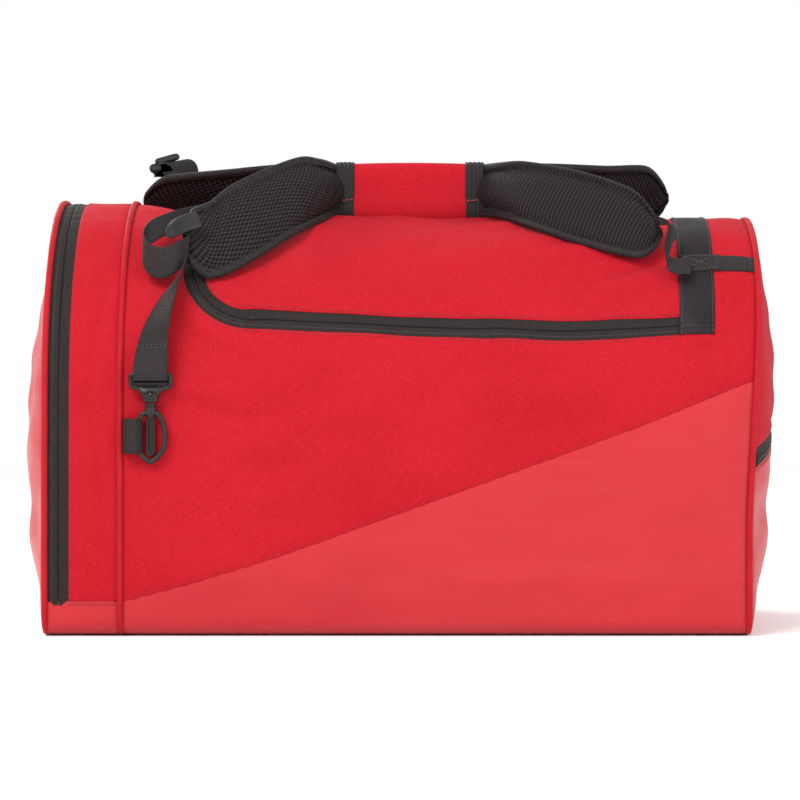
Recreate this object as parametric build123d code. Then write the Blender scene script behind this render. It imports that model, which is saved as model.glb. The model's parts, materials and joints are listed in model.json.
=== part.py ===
"""A soft hockey equipment bag, built as the sewn and moulded pieces that the real one is made of.

Frame: X along the bag's length, Y front (-) to back (+), Z up. The origin is on the floor under the middle.
The D-shaped section has flat sides up to spring_height and a half-elliptical top above it.
"""

import os
from math import cos, radians, sin, sqrt

from build123d import *

# Body section
half_depth = 165.0
spring_height = 200.0
floor_radius = 14.0
lid_crest = 364.0
shoe_crest = 380.0
wall = 2.5

# Stations along X
x_end_seam = -302.0
x_end_zip = -290.5
x_shoe_seam = -238.0
x_lid_left = -177.0
x_lid_hinge = 238.0
x_strip_right = 270.0
x_right_seam = 303.0

# Seams, zips and trim
piping_half = 2.5
piping_stand = 2.0
tape_half = 9.0
zip_slit = 2.2
main_zip_height = 263.0
zip_corner_radius = 50.0
band_height = 30.0
strip_thickness = 1.2
webbing_thickness = 1.6
webbing_width = 30.0
seam_low = 28.0
seam_knee = 65.0
seam_knee_x = -104.0
seam_high = 217.0
end_bulge = 28.0
gap = 0.4

# Base board
board_thickness = 3.0
board_inset = 20.0

# Sliders and pulls
slider_length = 11.0
slider_width = 13.0
slider_plate = 1.8
slider_clear = 0.6
wedge = 0.6
bridge_length = 10.0
bridge_width = 3.0
bridge_room = 3.0
bridge_bar = 1.2
pull_pin_radius = 0.9
pull_stand = 1.5
pull_length = 30.0
pull_width = 9.0
main_slider_x = 230.0
end_slider_z = 41.0
pocket_slider_y = 66.0
pocket_zip_height = 187.0
pocket_zip_edge = 163.0

# Snap hooks
hook_x = -211.0
hook_stand = 11.0
hook_bar = 4.4
ring_half_width = 16.5
ring_low = 147.0
ring_high = 192.0
ring_corner = 12.0
neck_top = 198.0
socket_top = 211.0
dee_top = 225.0
dee_width = 39.0
stem_radius = 2.5
stem_head_radius = 3.8
gate_low = 152.4
tab_low = 155.0
tab_high = 184.6
tab_fold_x = -217.5
tab_reach = 5.4

# Handle
pad_thickness = 12.0
wrap_left = -58.0
wrap_right = 76.0
binding_width = 17.0
wrap_height = 49.5
wrap_depth = 31.0
wrap_wall = 2.0
wrap_corner = 4.0
wrap_centre_z = 390.2
buckle_length = 24.0
buckle_width = 38.0
buckle_thickness = 4.5

# The box of the whole bag runs from the left dome to the pocket's pull, and its middle is the origin
left_extent = x_end_seam - piping_half - end_bulge
right_extent = x_right_seam + piping_half + end_bulge + slider_clear + slider_plate + bridge_room + bridge_bar
centre_x = (left_extent + right_extent) / 2

FRONT = -1
BACK = 1
SIDES = (("front", FRONT), ("back", BACK))


def save(node, shape):
    """Writes one node's solids to its own file, in the frame centred on the whole bag."""
    solids = [Pos(-centre_x, 0, 0) * s for s in shape.solids() if s.volume > 1.0]
    export_step(solids[0] if len(solids) == 1 else Compound(children=solids), f"parts/{node}.step")


def box(low, high):
    """An axis-aligned block from its two corners."""
    size = [b - a for a, b in zip(low, high)]
    centre = [(a + b) / 2 for a, b in zip(low, high)]
    return Pos(*centre) * Box(*size)


def side_box(side, low, high):
    """A block whose y values are distances from the middle plane, on the front or the back."""
    near, far = sorted((side * low[1], side * high[1]))
    return box((low[0], near, low[2]), (high[0], far, high[2]))


def section(x, crest, inset):
    """The bag's D-shaped section at x, moved inwards by inset."""
    half = half_depth - inset
    low = inset
    corner = max(floor_radius - inset, 1.0)
    rise = crest - inset - spring_height
    with BuildSketch(Plane.YZ.offset(x)) as face:
        with BuildLine():
            Line((-half, spring_height), (-half, low + corner))
            ThreePointArc(
                (-half, low + corner),
                (-half + corner * (1 - cos(radians(45))), low + corner * (1 - sin(radians(45)))),
                (-half + corner, low),
            )
            Line((-half + corner, low), (half - corner, low))
            ThreePointArc(
                (half - corner, low),
                (half - corner * (1 - cos(radians(45))), low + corner * (1 - sin(radians(45)))),
                (half, low + corner),
            )
            Line((half, low + corner), (half, spring_height))
            EllipticalCenterArc((0, spring_height), half, rise, start_angle=0, arc_size=180)
        make_face()
    return face.sketch


def block(x0, x1, inset, crest0=lid_crest, crest1=lid_crest):
    """The solid D-shaped body between two stations."""
    if crest0 == crest1:
        return extrude(section(x0, crest0, inset), x1 - x0)
    return loft([section(x0, crest0, inset).face(), section(x1, crest1, inset).face()])


def skin(x0, x1, outer=0.0, inner=wall, crest0=lid_crest, crest1=lid_crest):
    """A tube of the D section between two insets; a negative inset stands proud of the bag."""
    return block(x0, x1, outer, crest0, crest1) - block(x0 - 1, x1 + 1, inner, crest0, crest1)


def above(z):
    return box((-500, -400, z), (500, 400, 600))


def side_of(side):
    """Everything on the front or the back half of the bag."""
    low, high = sorted((0, side * 400))
    return box((-500, low, -50), (500, high, 600))


def lid_opening(grow):
    """The prism that cuts the lid out of the body: square at the hinge, round at the two free corners."""
    left = x_lid_left - grow
    low = main_zip_height - grow
    radius = zip_corner_radius + grow
    with BuildSketch(Plane.XZ) as face:
        with BuildLine():
            Line((x_lid_hinge, 600), (left, 600))
            Line((left, 600), (left, low + radius))
            ThreePointArc(
                (left, low + radius),
                (left + radius * (1 - cos(radians(45))), low + radius * (1 - sin(radians(45)))),
                (left + radius, low),
            )
            Line((left + radius, low), (x_lid_hinge, low))
            Line((x_lid_hinge, low), (x_lid_hinge, 600))
        make_face()
    return extrude(face.sketch, 400, both=True)


def below_diagonal():
    """The prism under the slanting seam between the woven and the coated side panels."""
    with BuildSketch(Plane.XZ) as face:
        with BuildLine():
            Polyline(
                (-500, -50), (500, -50), (500, seam_high), (x_right_seam, seam_high),
                (seam_knee_x, seam_knee), (x_shoe_seam, seam_low), (-500, seam_low),
                close=True,
            )
        make_face()
    return extrude(face.sketch, 400, both=True)


def surface_y(z, crest=lid_crest):
    """Distance of the bag's surface from its middle plane at height z."""
    if z <= spring_height:
        return half_depth
    return half_depth * sqrt(max(0.0, 1 - ((z - spring_height) / (crest - spring_height)) ** 2))


# ---------------------------------------------------------------- fixed fabric of the bag


def main_skin():
    """The whole main compartment's skin, from the shoe seam to the right end seam."""
    taper = skin(x_shoe_seam + piping_half, x_lid_left, crest0=shoe_crest, crest1=lid_crest)
    straight = skin(x_lid_left, x_right_seam - piping_half)
    return taper, straight


def make_side_panels():
    """Woven upper and coated lower panel on each long side, and the bottom between them."""
    taper, straight = main_skin()
    side_low = box((-500, -400, -50), (500, 400, main_zip_height - tape_half))
    body = (taper & side_low) + (straight & side_low)
    middle = half_depth - floor_radius
    bottom_cut = box((-500, -middle, -50), (500, middle, wall + 1))
    save("bottom_panel", body & bottom_cut)
    front = (body - bottom_cut) & side_of(FRONT)
    lower = front & below_diagonal()
    upper = front - below_diagonal()
    save("front_lower_panel", lower)
    save("front_upper_panel", upper)
    save("back_lower_panel", mirror(lower, Plane.XZ))
    save("back_upper_panel", mirror(upper, Plane.XZ))


def make_top_panels():
    """The fixed woven bands over the top, left and right of the lid."""
    taper, straight = main_skin()
    over = above(main_zip_height - tape_half)
    hole = lid_opening(tape_half)
    left = (taper & over) + (straight & over & box((-500, -400, 0), (0, 400, 600)))
    save("left_top_panel", left - hole)
    right = box((x_lid_hinge, -400, 0), (500, 400, 600))
    save("right_top_panel", straight & over & right)
    collar = skin(x_lid_hinge + 1, x_strip_right, -strip_thickness, 0)
    save("reinforcement_strip", collar & above(main_zip_height - tape_half - 2))


def make_main_zip():
    """The two halves of the main zip's tape. A short piece of the upper half stays fixed by the back stop."""
    taper, straight = main_skin()
    whole = taper + straight
    parked = box((main_slider_x - 9, 0, 0), (x_lid_hinge, 400, main_zip_height + tape_half))
    lower = whole & (lid_opening(tape_half) - lid_opening(zip_slit / 2))
    upper = whole & (lid_opening(-zip_slit / 2) - lid_opening(-tape_half))
    save("main_zip_body_tape", lower)
    save("main_zip_end_tape", upper & parked)
    margin = box((main_slider_x - 10, 0, 0), (x_lid_hinge + gap, 400, main_zip_height + tape_half + gap))
    save("main_zip_lid_tape", upper & box((-500, -400, 0), (x_lid_hinge - gap, 400, 600)) - margin)
    lid = whole & lid_opening(-tape_half - gap) & box((-500, -400, 0), (x_lid_hinge - gap, 400, 600))
    save("lid_panel", lid)


def make_shoe_end():
    """The gusset of the shoe compartment, its coated band, zip tape, seams and inner wall."""
    crest = dict(crest0=shoe_crest, crest1=shoe_crest)
    x_in = x_end_zip + tape_half
    gusset = skin(x_in, x_shoe_seam - piping_half, **crest)
    save("shoe_gusset", gusset & above(band_height))
    band = skin(x_end_seam + piping_half, x_shoe_seam - piping_half, **crest)
    save("shoe_gusset_band", band - above(band_height))
    tape = skin(x_end_zip + zip_slit / 2, x_in, **crest)
    save("end_zip_body_tape", tape & above(band_height))
    seam = skin(x_shoe_seam - piping_half, x_shoe_seam + piping_half, -piping_stand, wall, **crest)
    save("shoe_seam_piping", seam & above(0.0))
    foot = skin(x_end_seam - piping_half, x_end_seam + piping_half, -piping_stand, wall, **crest)
    save("end_piping_foot", foot & box((-500, -400, 0), (0, 400, band_height)))
    divider = block(x_shoe_seam - 1, x_shoe_seam + 1, wall, **crest)
    save("shoe_divider", divider)


def dome(seam_x, direction, crest):
    """A bulging end panel: rounded steps of the D section that shrink as they move out."""
    steps = ((0.0, 0.0), (0.55, 22.0), (0.88, 55.0), (1.0, 92.0))
    start = seam_x + direction * piping_half
    faces = []
    for share, shrink in steps:
        faces.append(section(start + direction * share * end_bulge, crest, shrink).face())
    if direction < 0:
        faces.reverse()
    return loft(faces, ruled=True)


def end_shell(seam_x, direction, crest):
    """The dome with its thickness taken off the inside."""
    outer = dome(seam_x, direction, crest)
    return outer - Pos(-direction * wall, 0, 0) * outer


def make_right_end():
    """The right end: woven top, coated bottom, the pocket's zip between them and its inner wall."""
    shell = end_shell(x_right_seam, 1, lid_crest)
    plateau = half_depth - 80.0

    def under(rise):
        with BuildSketch(Plane.YZ) as face:
            with BuildLine():
                Polyline(
                    (-400, -50), (400, -50), (400, pocket_zip_edge - 60 + rise),
                    (half_depth, pocket_zip_edge + rise), (plateau, pocket_zip_height + rise),
                    (-plateau, pocket_zip_height + rise), (-half_depth, pocket_zip_edge + rise),
                    (-400, pocket_zip_edge - 60 + rise),
                    close=True,
                )
            make_face()
        return extrude(face.sketch, 600)

    save("right_end_lower_panel", shell & under(-tape_half))
    save("pocket_zip_lower_tape", shell & (under(-zip_slit / 2) - under(-tape_half)))
    save("pocket_zip_upper_tape", shell & (under(tape_half) - under(zip_slit / 2)))
    save("right_end_upper_panel", shell - under(tape_half))
    ring = skin(x_right_seam - piping_half, x_right_seam + piping_half, -piping_stand, wall)
    save("right_seam_piping", ring & above(0.0))
    save("pocket_inner_wall", block(x_right_seam - 1, x_right_seam + 1, wall))


def make_base_board():
    """The stiff board that lies loose in the bottom of the main compartment."""
    low = (x_shoe_seam + board_inset, -half_depth + board_inset, wall)
    high = (x_right_seam - board_inset, half_depth - board_inset, wall + board_thickness)
    save("base_board", box(low, high))


# ---------------------------------------------------------------- the shoe compartment's flap


def make_flap():
    """The end flap: bulging panel, its piping and its half of the zip tape; the foot below stays fixed."""
    crest = dict(crest0=shoe_crest, crest1=shoe_crest)
    shell = end_shell(x_end_seam, -1, shoe_crest)
    save("end_panel", shell & above(band_height + gap))
    save("end_panel_foot", shell & box((-500, -400, -5), (0, 400, band_height - gap)))
    ring = skin(x_end_seam - piping_half, x_end_seam + piping_half, -piping_stand, wall, **crest)
    save("end_piping", ring & above(band_height + gap))
    tape = skin(x_end_seam + piping_half, x_end_zip - zip_slit / 2, **crest)
    save("end_zip_flap_tape", tape & above(band_height + gap))


# ---------------------------------------------------------------- sliders and pulls


def slider(plane):
    """A zip slider: two plates, the wedge between them in the slit, and the bridge that holds the pull."""
    top = slider_clear
    low = -wall - slider_clear
    plates = Pos(0, 0, top + slider_plate / 2) * Box(slider_length, slider_width, slider_plate)
    plates += Pos(0, 0, low - slider_plate / 2) * Box(slider_length, slider_width, slider_plate)
    plates += Pos(0, 0, (top + low) / 2) * Box(slider_length / 2, wedge, top - low + 1)
    base = top + slider_plate
    bridge = Pos(0, 0, base + bridge_room + bridge_bar / 2) * Box(bridge_length, bridge_width, bridge_bar)
    for end in (-1, 1):
        leg_x = end * (bridge_length - 1.4) / 2
        tall = bridge_room + bridge_bar
        bridge += Pos(leg_x, 0, base + tall / 2) * Box(1.4, bridge_width, tall)
    return plane * (plates + bridge)


def pull(plane):
    """The pull tab: a pin under the bridge, two arms round it and a flat grip, lying towards local -X."""
    height = slider_clear + slider_plate + pull_stand
    arm_y = bridge_width / 2 + 1.1
    body = Pos(0, 0, height) * Rot(90, 0, 0) * Cylinder(pull_pin_radius, 2 * arm_y)
    for end in (-1, 1):
        body += Pos(-3.6, end * arm_y, height) * Box(7.2 + 1.8, 1.2, 1.6)
    grip_mid = -(7.0 + pull_length) / 2
    grip = Pos(grip_mid, 0, height) * Box(pull_length - 7.0, pull_width, 1.6)
    grip -= Pos(-pull_length + 5, 0, height) * Cylinder(2.2, 4)
    return plane * (body + grip)


def make_sliders():
    """The three sliders with their pulls, each parked at its closed end."""
    z = main_zip_height + 0.5
    y = surface_y(z)
    slope = Vector(0, y / half_depth**2, (z - spring_height) / (lid_crest - spring_height) ** 2).normalized()
    main = Plane(origin=(main_slider_x, y, z), x_dir=(1, 0, 0), z_dir=slope)
    end = Plane(origin=(x_end_zip, half_depth, end_slider_z), x_dir=(0, 0, 1), z_dir=(0, 1, 0))
    pocket_x = x_right_seam + piping_half + end_bulge
    pocket = Plane(origin=(pocket_x, pocket_slider_y, pocket_zip_height), x_dir=(0, 1, 0), z_dir=(1, 0, 0))
    for name, plane in (("main", main), ("end", end), ("pocket", pocket)):
        save(f"{name}_zip_slider", slider(plane))
        save(f"{name}_zip_pull", pull(plane))


# ---------------------------------------------------------------- snap hooks


def hook_ring(y):
    """The open ring of the snap hook: it leaves the neck on the left and ends at a free tip on the right."""
    middle = (ring_low + ring_high) / 2
    tall = ring_high - ring_low
    outer = RectangleRounded(2 * ring_half_width, tall, ring_corner)
    inner = RectangleRounded(2 * (ring_half_width - hook_bar), tall - 2 * hook_bar, ring_corner - hook_bar)
    ring = Pos(hook_x, y, middle) * Rot(90, 0, 0) * extrude(outer - inner, hook_bar / 2, both=True)
    throat = box((hook_x + 5.5, y - 20, ring_high - 12), (hook_x + 40, y + 20, ring_high + 5))
    return ring - throat


def make_hooks():
    """On each side: the dee with its socket, the hook that turns in it, the sprung gate and the sewn tab."""
    for name, side in SIDES:
        y = side * (half_depth + hook_stand)
        dee = box((hook_x - dee_width / 2, y - 3, socket_top - 3), (hook_x + dee_width / 2, y + 3, dee_top))
        dee = chamfer(dee.edges().filter_by(Axis.Y).group_by(Axis.Z)[0], 5)
        dee -= box((hook_x - 15.4, y - 9, socket_top), (hook_x + 15.4, y + 9, dee_top - 6))
        socket = Pos(hook_x, y, (neck_top + socket_top) / 2) * Cylinder(6.2, socket_top - neck_top)
        bore = Pos(hook_x, y, neck_top + 2) * Cylinder(stem_radius + 0.15, 8)
        chamber = Pos(hook_x, y, neck_top + 6.5) * Cylinder(stem_head_radius + 0.3, 5)
        save(f"{name}_hook_dee", dee + socket - bore - chamber)

        neck = Pos(hook_x, y, ring_high + 1.2) * Cylinder(5.4, 8)
        stem = Pos(hook_x, y, (ring_high + neck_top + 8) / 2) * Cylinder(stem_radius, neck_top + 8 - ring_high)
        head = Pos(hook_x, y, neck_top + 6.5) * Cylinder(stem_head_radius, 3.6)
        save(f"{name}_hook", hook_ring(y) + neck + stem + head)

        gate_top = ring_high - hook_bar - gap
        lever = box((hook_x - 2.6, y - 2, gate_low), (hook_x + 3.4, y + 2, gate_top))
        lever = fillet(lever.edges().filter_by(Axis.Y).group_by(Axis.Z)[0], 2)
        save(f"{name}_hook_gate", lever)
        make_tab(name, side)


def make_tab(name, side):
    """The webbing tab sewn into the shoe seam: it runs out, round the hook's left arm and back."""
    left = x_shoe_seam + piping_half + 0.2
    t = webbing_thickness
    near = half_depth + hook_stand - tab_reach
    far = half_depth + hook_stand + tab_reach
    tab = side_box(side, (left, near - t, tab_low), (tab_fold_x, near, tab_high))
    tab += side_box(side, (left, far, tab_low), (tab_fold_x, far + t, tab_high))
    tab += side_box(side, (tab_fold_x - t, near - t, tab_low), (tab_fold_x, far + t, tab_high))
    tab += side_box(side, (left, half_depth + gap, tab_low), (left + t, far + t, tab_high))
    save(f"{name}_hook_tab", tab)


# ---------------------------------------------------------------- webbing


def strap_section(x, y, z, tilt, width, thickness, normal):
    """A flat strap's cross-section at a station: tilt turns its width away from the vertical."""
    plane = Plane(origin=(x, y, z), x_dir=(0, sin(radians(tilt)), cos(radians(tilt))), z_dir=normal)
    return (plane * Rectangle(width, thickness)).face()


def make_anchor_webbing():
    """The horizontal webbing that fixes each handle strap, sewn over the strip into the right seam."""
    low = main_zip_height + 44.0
    collar = skin(x_strip_right + gap, x_right_seam - piping_half - gap, -webbing_thickness, 0)
    over = skin(x_lid_hinge + 2, x_strip_right + gap, -strip_thickness - webbing_thickness, -strip_thickness)
    cut = box((-500, -400, low), (500, 400, low + 18.0))
    for name, side in SIDES:
        save(f"{name}_anchor_webbing", (over & cut & side_of(side)) + (collar & cut & side_of(side)))


def make_tail_webbing():
    """The webbing tail between the dee and the ladder-lock: round the dee's bar, then up the shoulder."""
    for name, side in SIDES:
        y = side * (half_depth + hook_stand)
        bar_low = dee_top - 6
        half = webbing_width / 2
        loop = box((hook_x - half, y - 5.2, bar_low - 2), (hook_x + half, y + 5.2, dee_top + 2))
        loop -= box((hook_x - half - 1, y - 3.5, bar_low - 0.4), (hook_x + half + 1, y + 3.5, dee_top + 0.4))
        stations = (
            (hook_x, dee_top + 2, 90),
            (hook_x + 6, 250, 70),
            (hook_x + 15, 275, 35),
            (hook_x + 22, 298, 12),
        )
        faces = []
        for x, z, turn in stations:
            stand = 7.0 + webbing_width / 2 * cos(radians(turn)) * 0.75
            where = side * (surface_y(z, shoe_crest) + stand) if z > 230 else y
            width = webbing_width * (0.72 if turn < 60 else 1.0)
            across = (sin(radians(turn)), -side * cos(radians(turn)), 0)
            plane = Plane(origin=(x, where, z), x_dir=across, z_dir=(0, 0, 1))
            faces.append((plane * Rectangle(width, webbing_thickness)).face())
        save(f"{name}_tail_webbing", loop + loft(faces, ruled=True))


# ---------------------------------------------------------------- handle


def pad(stations):
    """A padded strap as a ruled loft through its stations (x, y, z, tilt, width)."""
    faces = [strap_section(x, y, z, tilt, width, pad_thickness, (1, 0, 0)) for x, y, z, tilt, width in stations]
    return loft(faces, ruled=True)


def front_pad_stations():
    """The front strap's stations: down over the shoulder at both ends, upright inside the wrap."""
    inside = -pad_thickness / 2 - 0.6
    return (
        (-183, -124, 348, 31, 28),
        (-162, -118, 338, 31, 76),
        (-130, -103, 354, 34, 90),
        (-92, -72, 380.2, 36, 82),
        (-74, -48, 386.4, 24, 60),
        (wrap_left, inside, wrap_centre_z, 0, 43),
        (wrap_right, inside, wrap_centre_z, 0, 43),
        (94, -40.5, 388.0, 22, 55),
        (115, -63, 382.0, 35, 74),
        (160, -85, 369, 33, 78),
        (205, -101, 354, 34, 72),
        (228, -104, 348, 34, 26),
    )


def back_pad_stations():
    """The back strap's stations: it stands higher than the front one, because its ends hang free."""
    inside = pad_thickness / 2 + 0.6
    return (
        (-240, 74, 387, -48, 26),
        (-220, 74, 386, -48, 58),
        (-150, 58, 387, -42, 70),
        (-100, 46, 388, -28, 66),
        (wrap_left, inside, wrap_centre_z, 0, 43),
        (wrap_right, inside, wrap_centre_z, 0, 43),
        (125, 52, 388.5, -26, 66),
        (190, 84, 388, -34, 72),
        (237, 99, 392.5, -36, 64),
        (253, 101, 392, -36, 34),
    )


def make_handle():
    """Both padded straps, the wrap that holds them together and its edge bindings."""
    save("front_pad", pad(front_pad_stations()))
    save("back_pad", pad(back_pad_stations()))
    spans = (
        ("left_wrap_binding", wrap_left, wrap_left + binding_width, 0.5),
        ("hand_wrap", wrap_left + binding_width, wrap_right - binding_width, 0.0),
        ("right_wrap_binding", wrap_right - binding_width, wrap_right, 0.5),
    )
    for node, x0, x1, stand in spans:
        outer = box((x0, -wrap_depth / 2 - stand, wrap_centre_z - wrap_height / 2 - stand),
                    (x1, wrap_depth / 2 + stand, wrap_centre_z + wrap_height / 2 + stand))
        outer = fillet(outer.edges().filter_by(Axis.X), wrap_corner)
        hole = box((x0 - 1, -wrap_depth / 2 + wrap_wall, wrap_centre_z - wrap_height / 2 + wrap_wall),
                   (x1 + 1, wrap_depth / 2 - wrap_wall, wrap_centre_z + wrap_height / 2 - wrap_wall))
        hole = fillet(hole.edges().filter_by(Axis.X), wrap_corner - wrap_wall)
        save(node, outer - hole)


def ladder_lock():
    """A moulded ladder-lock lying in its own XY plane: side rails, two end bars and a middle bar."""
    frame = Box(buckle_length, buckle_width, buckle_thickness)
    frame = fillet(frame.edges().filter_by(Axis.Z), 3)
    slot_length = webbing_width + 1.5
    for middle in (-buckle_length / 4 + 0.8, buckle_length / 4 - 0.8):
        frame -= Pos(middle, 0, 0) * Box(5.5, slot_length, buckle_thickness * 2)
    return frame


def make_buckles():
    """A ladder-lock at the left end of each pad, with the webbing stub that carries it."""
    front = Plane(origin=(-198, -132, 352), x_dir=(1, 0, 0.25), z_dir=(0, -0.82, 0.57))
    back = Plane(origin=(-212, 68, 412), x_dir=(1, 0, 0.3), z_dir=(-0.25, 0.3, 0.92))
    save("front_ladder_lock", front * ladder_lock())
    save("back_ladder_lock", back * ladder_lock())
    stub = Pos(6.6, 0, -buckle_thickness / 2 - 1.4) * Box(10, webbing_width, webbing_thickness)
    save("front_lock_webbing", front * stub)
    save("back_lock_webbing", back * stub)
    fold = box((-218, -154, 304), (-196, -146, 336)) - box((-216, -160, 306), (-198, -120, 334))
    save("front_loose_webbing", fold)


def make_curls():
    """The bare webbing that curls from each pad's right end down to the anchor."""
    routes = (
        ("front", FRONT, ((231, 112, 352, 20), (236, 118, 338, 8), (234.5, 122, 324, 4))),
        ("back", BACK, ((242, 117, 361, 15), (239, 120, 343, 10), (235, 123, 324, 4))),
    )
    for name, side, stations in routes:
        faces = []
        for x, y, z, lean in stations:
            down = (sin(radians(lean)), 0, -cos(radians(lean)))
            plane = Plane(origin=(x, side * y, z), x_dir=(0, 1, 0), z_dir=down)
            faces.append((plane * Rectangle(18, webbing_thickness)).face())
        save(f"{name}_webbing_curl", loft(faces, ruled=True))


def main():
    os.makedirs("parts", exist_ok=True)
    make_side_panels()
    make_top_panels()
    make_main_zip()
    make_shoe_end()
    make_right_end()
    make_base_board()
    make_flap()
    make_sliders()
    make_hooks()
    make_anchor_webbing()
    make_tail_webbing()
    make_handle()
    make_buckles()
    make_curls()


main()
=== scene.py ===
# The looks of a soft hockey equipment bag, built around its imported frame. Metres; X right, Y back, Z up.
import json
from math import cos, pi, radians, sin

import bmesh
import bpy
import numpy as np
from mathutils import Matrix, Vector


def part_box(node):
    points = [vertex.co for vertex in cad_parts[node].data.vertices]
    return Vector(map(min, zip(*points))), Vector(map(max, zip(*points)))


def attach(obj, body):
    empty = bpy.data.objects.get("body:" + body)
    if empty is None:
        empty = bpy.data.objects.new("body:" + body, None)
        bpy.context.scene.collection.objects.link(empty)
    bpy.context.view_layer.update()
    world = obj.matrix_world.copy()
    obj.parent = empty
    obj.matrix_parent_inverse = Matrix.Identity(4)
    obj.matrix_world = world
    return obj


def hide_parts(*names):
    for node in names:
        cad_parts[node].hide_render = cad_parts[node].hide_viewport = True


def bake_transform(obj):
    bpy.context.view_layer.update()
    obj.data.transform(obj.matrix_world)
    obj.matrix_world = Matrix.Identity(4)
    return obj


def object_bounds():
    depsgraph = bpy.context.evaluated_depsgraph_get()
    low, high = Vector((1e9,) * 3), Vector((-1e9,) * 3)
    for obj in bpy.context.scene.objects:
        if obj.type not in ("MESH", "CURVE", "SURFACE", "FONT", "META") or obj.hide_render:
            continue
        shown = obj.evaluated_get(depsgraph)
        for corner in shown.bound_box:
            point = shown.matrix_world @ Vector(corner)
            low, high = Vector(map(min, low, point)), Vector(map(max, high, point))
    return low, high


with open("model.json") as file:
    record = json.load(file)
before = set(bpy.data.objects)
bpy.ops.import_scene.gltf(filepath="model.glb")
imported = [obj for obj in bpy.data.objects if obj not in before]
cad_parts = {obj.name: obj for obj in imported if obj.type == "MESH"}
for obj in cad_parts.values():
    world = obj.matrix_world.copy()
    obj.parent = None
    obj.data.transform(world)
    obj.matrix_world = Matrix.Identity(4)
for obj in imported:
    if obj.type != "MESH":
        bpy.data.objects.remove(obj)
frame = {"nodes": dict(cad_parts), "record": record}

cad_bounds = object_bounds()


# ---------------------------------------------------------------- places and sizes, from the frame


def add_object(name, data):
    thing = bpy.data.objects.new(name, data)
    bpy.context.scene.collection.objects.link(thing)
    return thing


def low(node):
    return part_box(node)[0]


def high(node):
    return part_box(node)[1]


def middle(node):
    return (low(node) + high(node)) / 2


X_END = middle("end_piping").x
X_SHOE = middle("shoe_seam_piping").x
X_RIGHT = middle("right_seam_piping").x
X_END_ZIP = (high("end_zip_flap_tape").x + low("end_zip_body_tape").x) / 2
X_GUSSET = low("shoe_gusset").x
X_HINGE = high("lid_panel").x
X_STRIP = high("reinforcement_strip").x
DEPTH = high("shoe_gusset").y
LID_CREST = high("lid_panel").z
SHOE_CREST = high("shoe_gusset").z
BAND_TOP = high("shoe_gusset_band").z
X_BAG_RIGHT = high("right_end_lower_panel").x
TAPE = X_GUSSET - X_END_ZIP
X_LID = low("main_zip_body_tape").x + TAPE
ZIP_HEIGHT = low("main_zip_body_tape").z + TAPE
POCKET_HEIGHT = (high("pocket_zip_lower_tape").z + low("right_end_upper_panel").z) / 2 - TAPE / 2

SPRING = 0.200              # height at which the straight side turns into the roof
CORNER = 0.014              # radius of the fold from the floor to the side
LID_CORNER = 0.050          # radius of the main zip's two left corners
PIPING = 0.0027             # radius of the piping
CLOTH = 0.0012              # thickness of the coated cloth
WOVEN = CLOTH + 0.0004      # thickness of the woven cloth
OVERLAP = 0.002             # how far one sewn piece runs under the next
SEAM_GAP = 0.0015           # how far a sheet stops short of a piped seam
HEM = 0.0022                # from a sheet's edge to its row of stitches
PLUMP = 0.0045              # how far filled cloth rises between two seams
SWELL = X_BAG_RIGHT - X_RIGHT - PIPING - CLOTH
DOME_CENTRE = 0.165         # height of the end panels' middle
FLOOR_GAP = 0.0018          # how far the floor's cloth is kept off the ground
ALBEDO = 0.575              # brings every colour to the studio's exposure
MESH_PITCH = 0.0035         # half the pitch of the pads' ribs
MESH_FILE_PITCH = 0.0062    # pitch of the pads' cells across the ribs
GRID = 0.004                # spacing of the points in a sheet of cloth
SAG = 0.0024                # how far the hand wrap hangs below its CAD shape
CREASE_DEPTH = 2.0          # strength of every crease in CREASES
STITCH_LENGTH = 0.0030
STITCH_SPACE = 0.0013
STRAP_THICKNESS = 0.0016
LOOP_THICKNESS = 0.0015
SIDES = (("front", -1), ("back", 1))


def travelled(points):
    """Distance covered along a line of points, starting from zero."""
    return np.concatenate([[0], np.cumsum(np.linalg.norm(np.diff(points, axis=0), axis=1))])


def unit(vectors):
    return vectors / np.linalg.norm(vectors, axis=-1, keepdims=True)


def full_turn(count):
    return np.linspace(0, 2 * pi, count, endpoint=False)


def squared(wave, power):
    """A sine or cosine with its turns made squarer, its sign kept."""
    return np.sign(wave) * np.abs(wave) ** power


def level(*values):
    """Numbers or arrays as float arrays of one shape."""
    return np.broadcast_arrays(*(np.asarray(value, float) for value in values))


def curve_through(points, blur=0.02):
    """A function that passes smoothly near the points (x, value), level beyond both ends."""
    xs, values = np.array(points, float).T
    table_x = np.linspace(xs[0] - 0.1, xs[-1] + 0.1, 1200)
    table = np.interp(table_x, xs, values)
    reach = max(1, int(blur / (table_x[1] - table_x[0]) / 2))
    kernel = np.hanning(2 * reach + 3)
    padded = np.pad(table, reach + 1, mode="edge")
    table = np.convolve(padded, kernel / kernel.sum(), mode="valid")
    return lambda x: np.interp(x, table_x, table)


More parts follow.
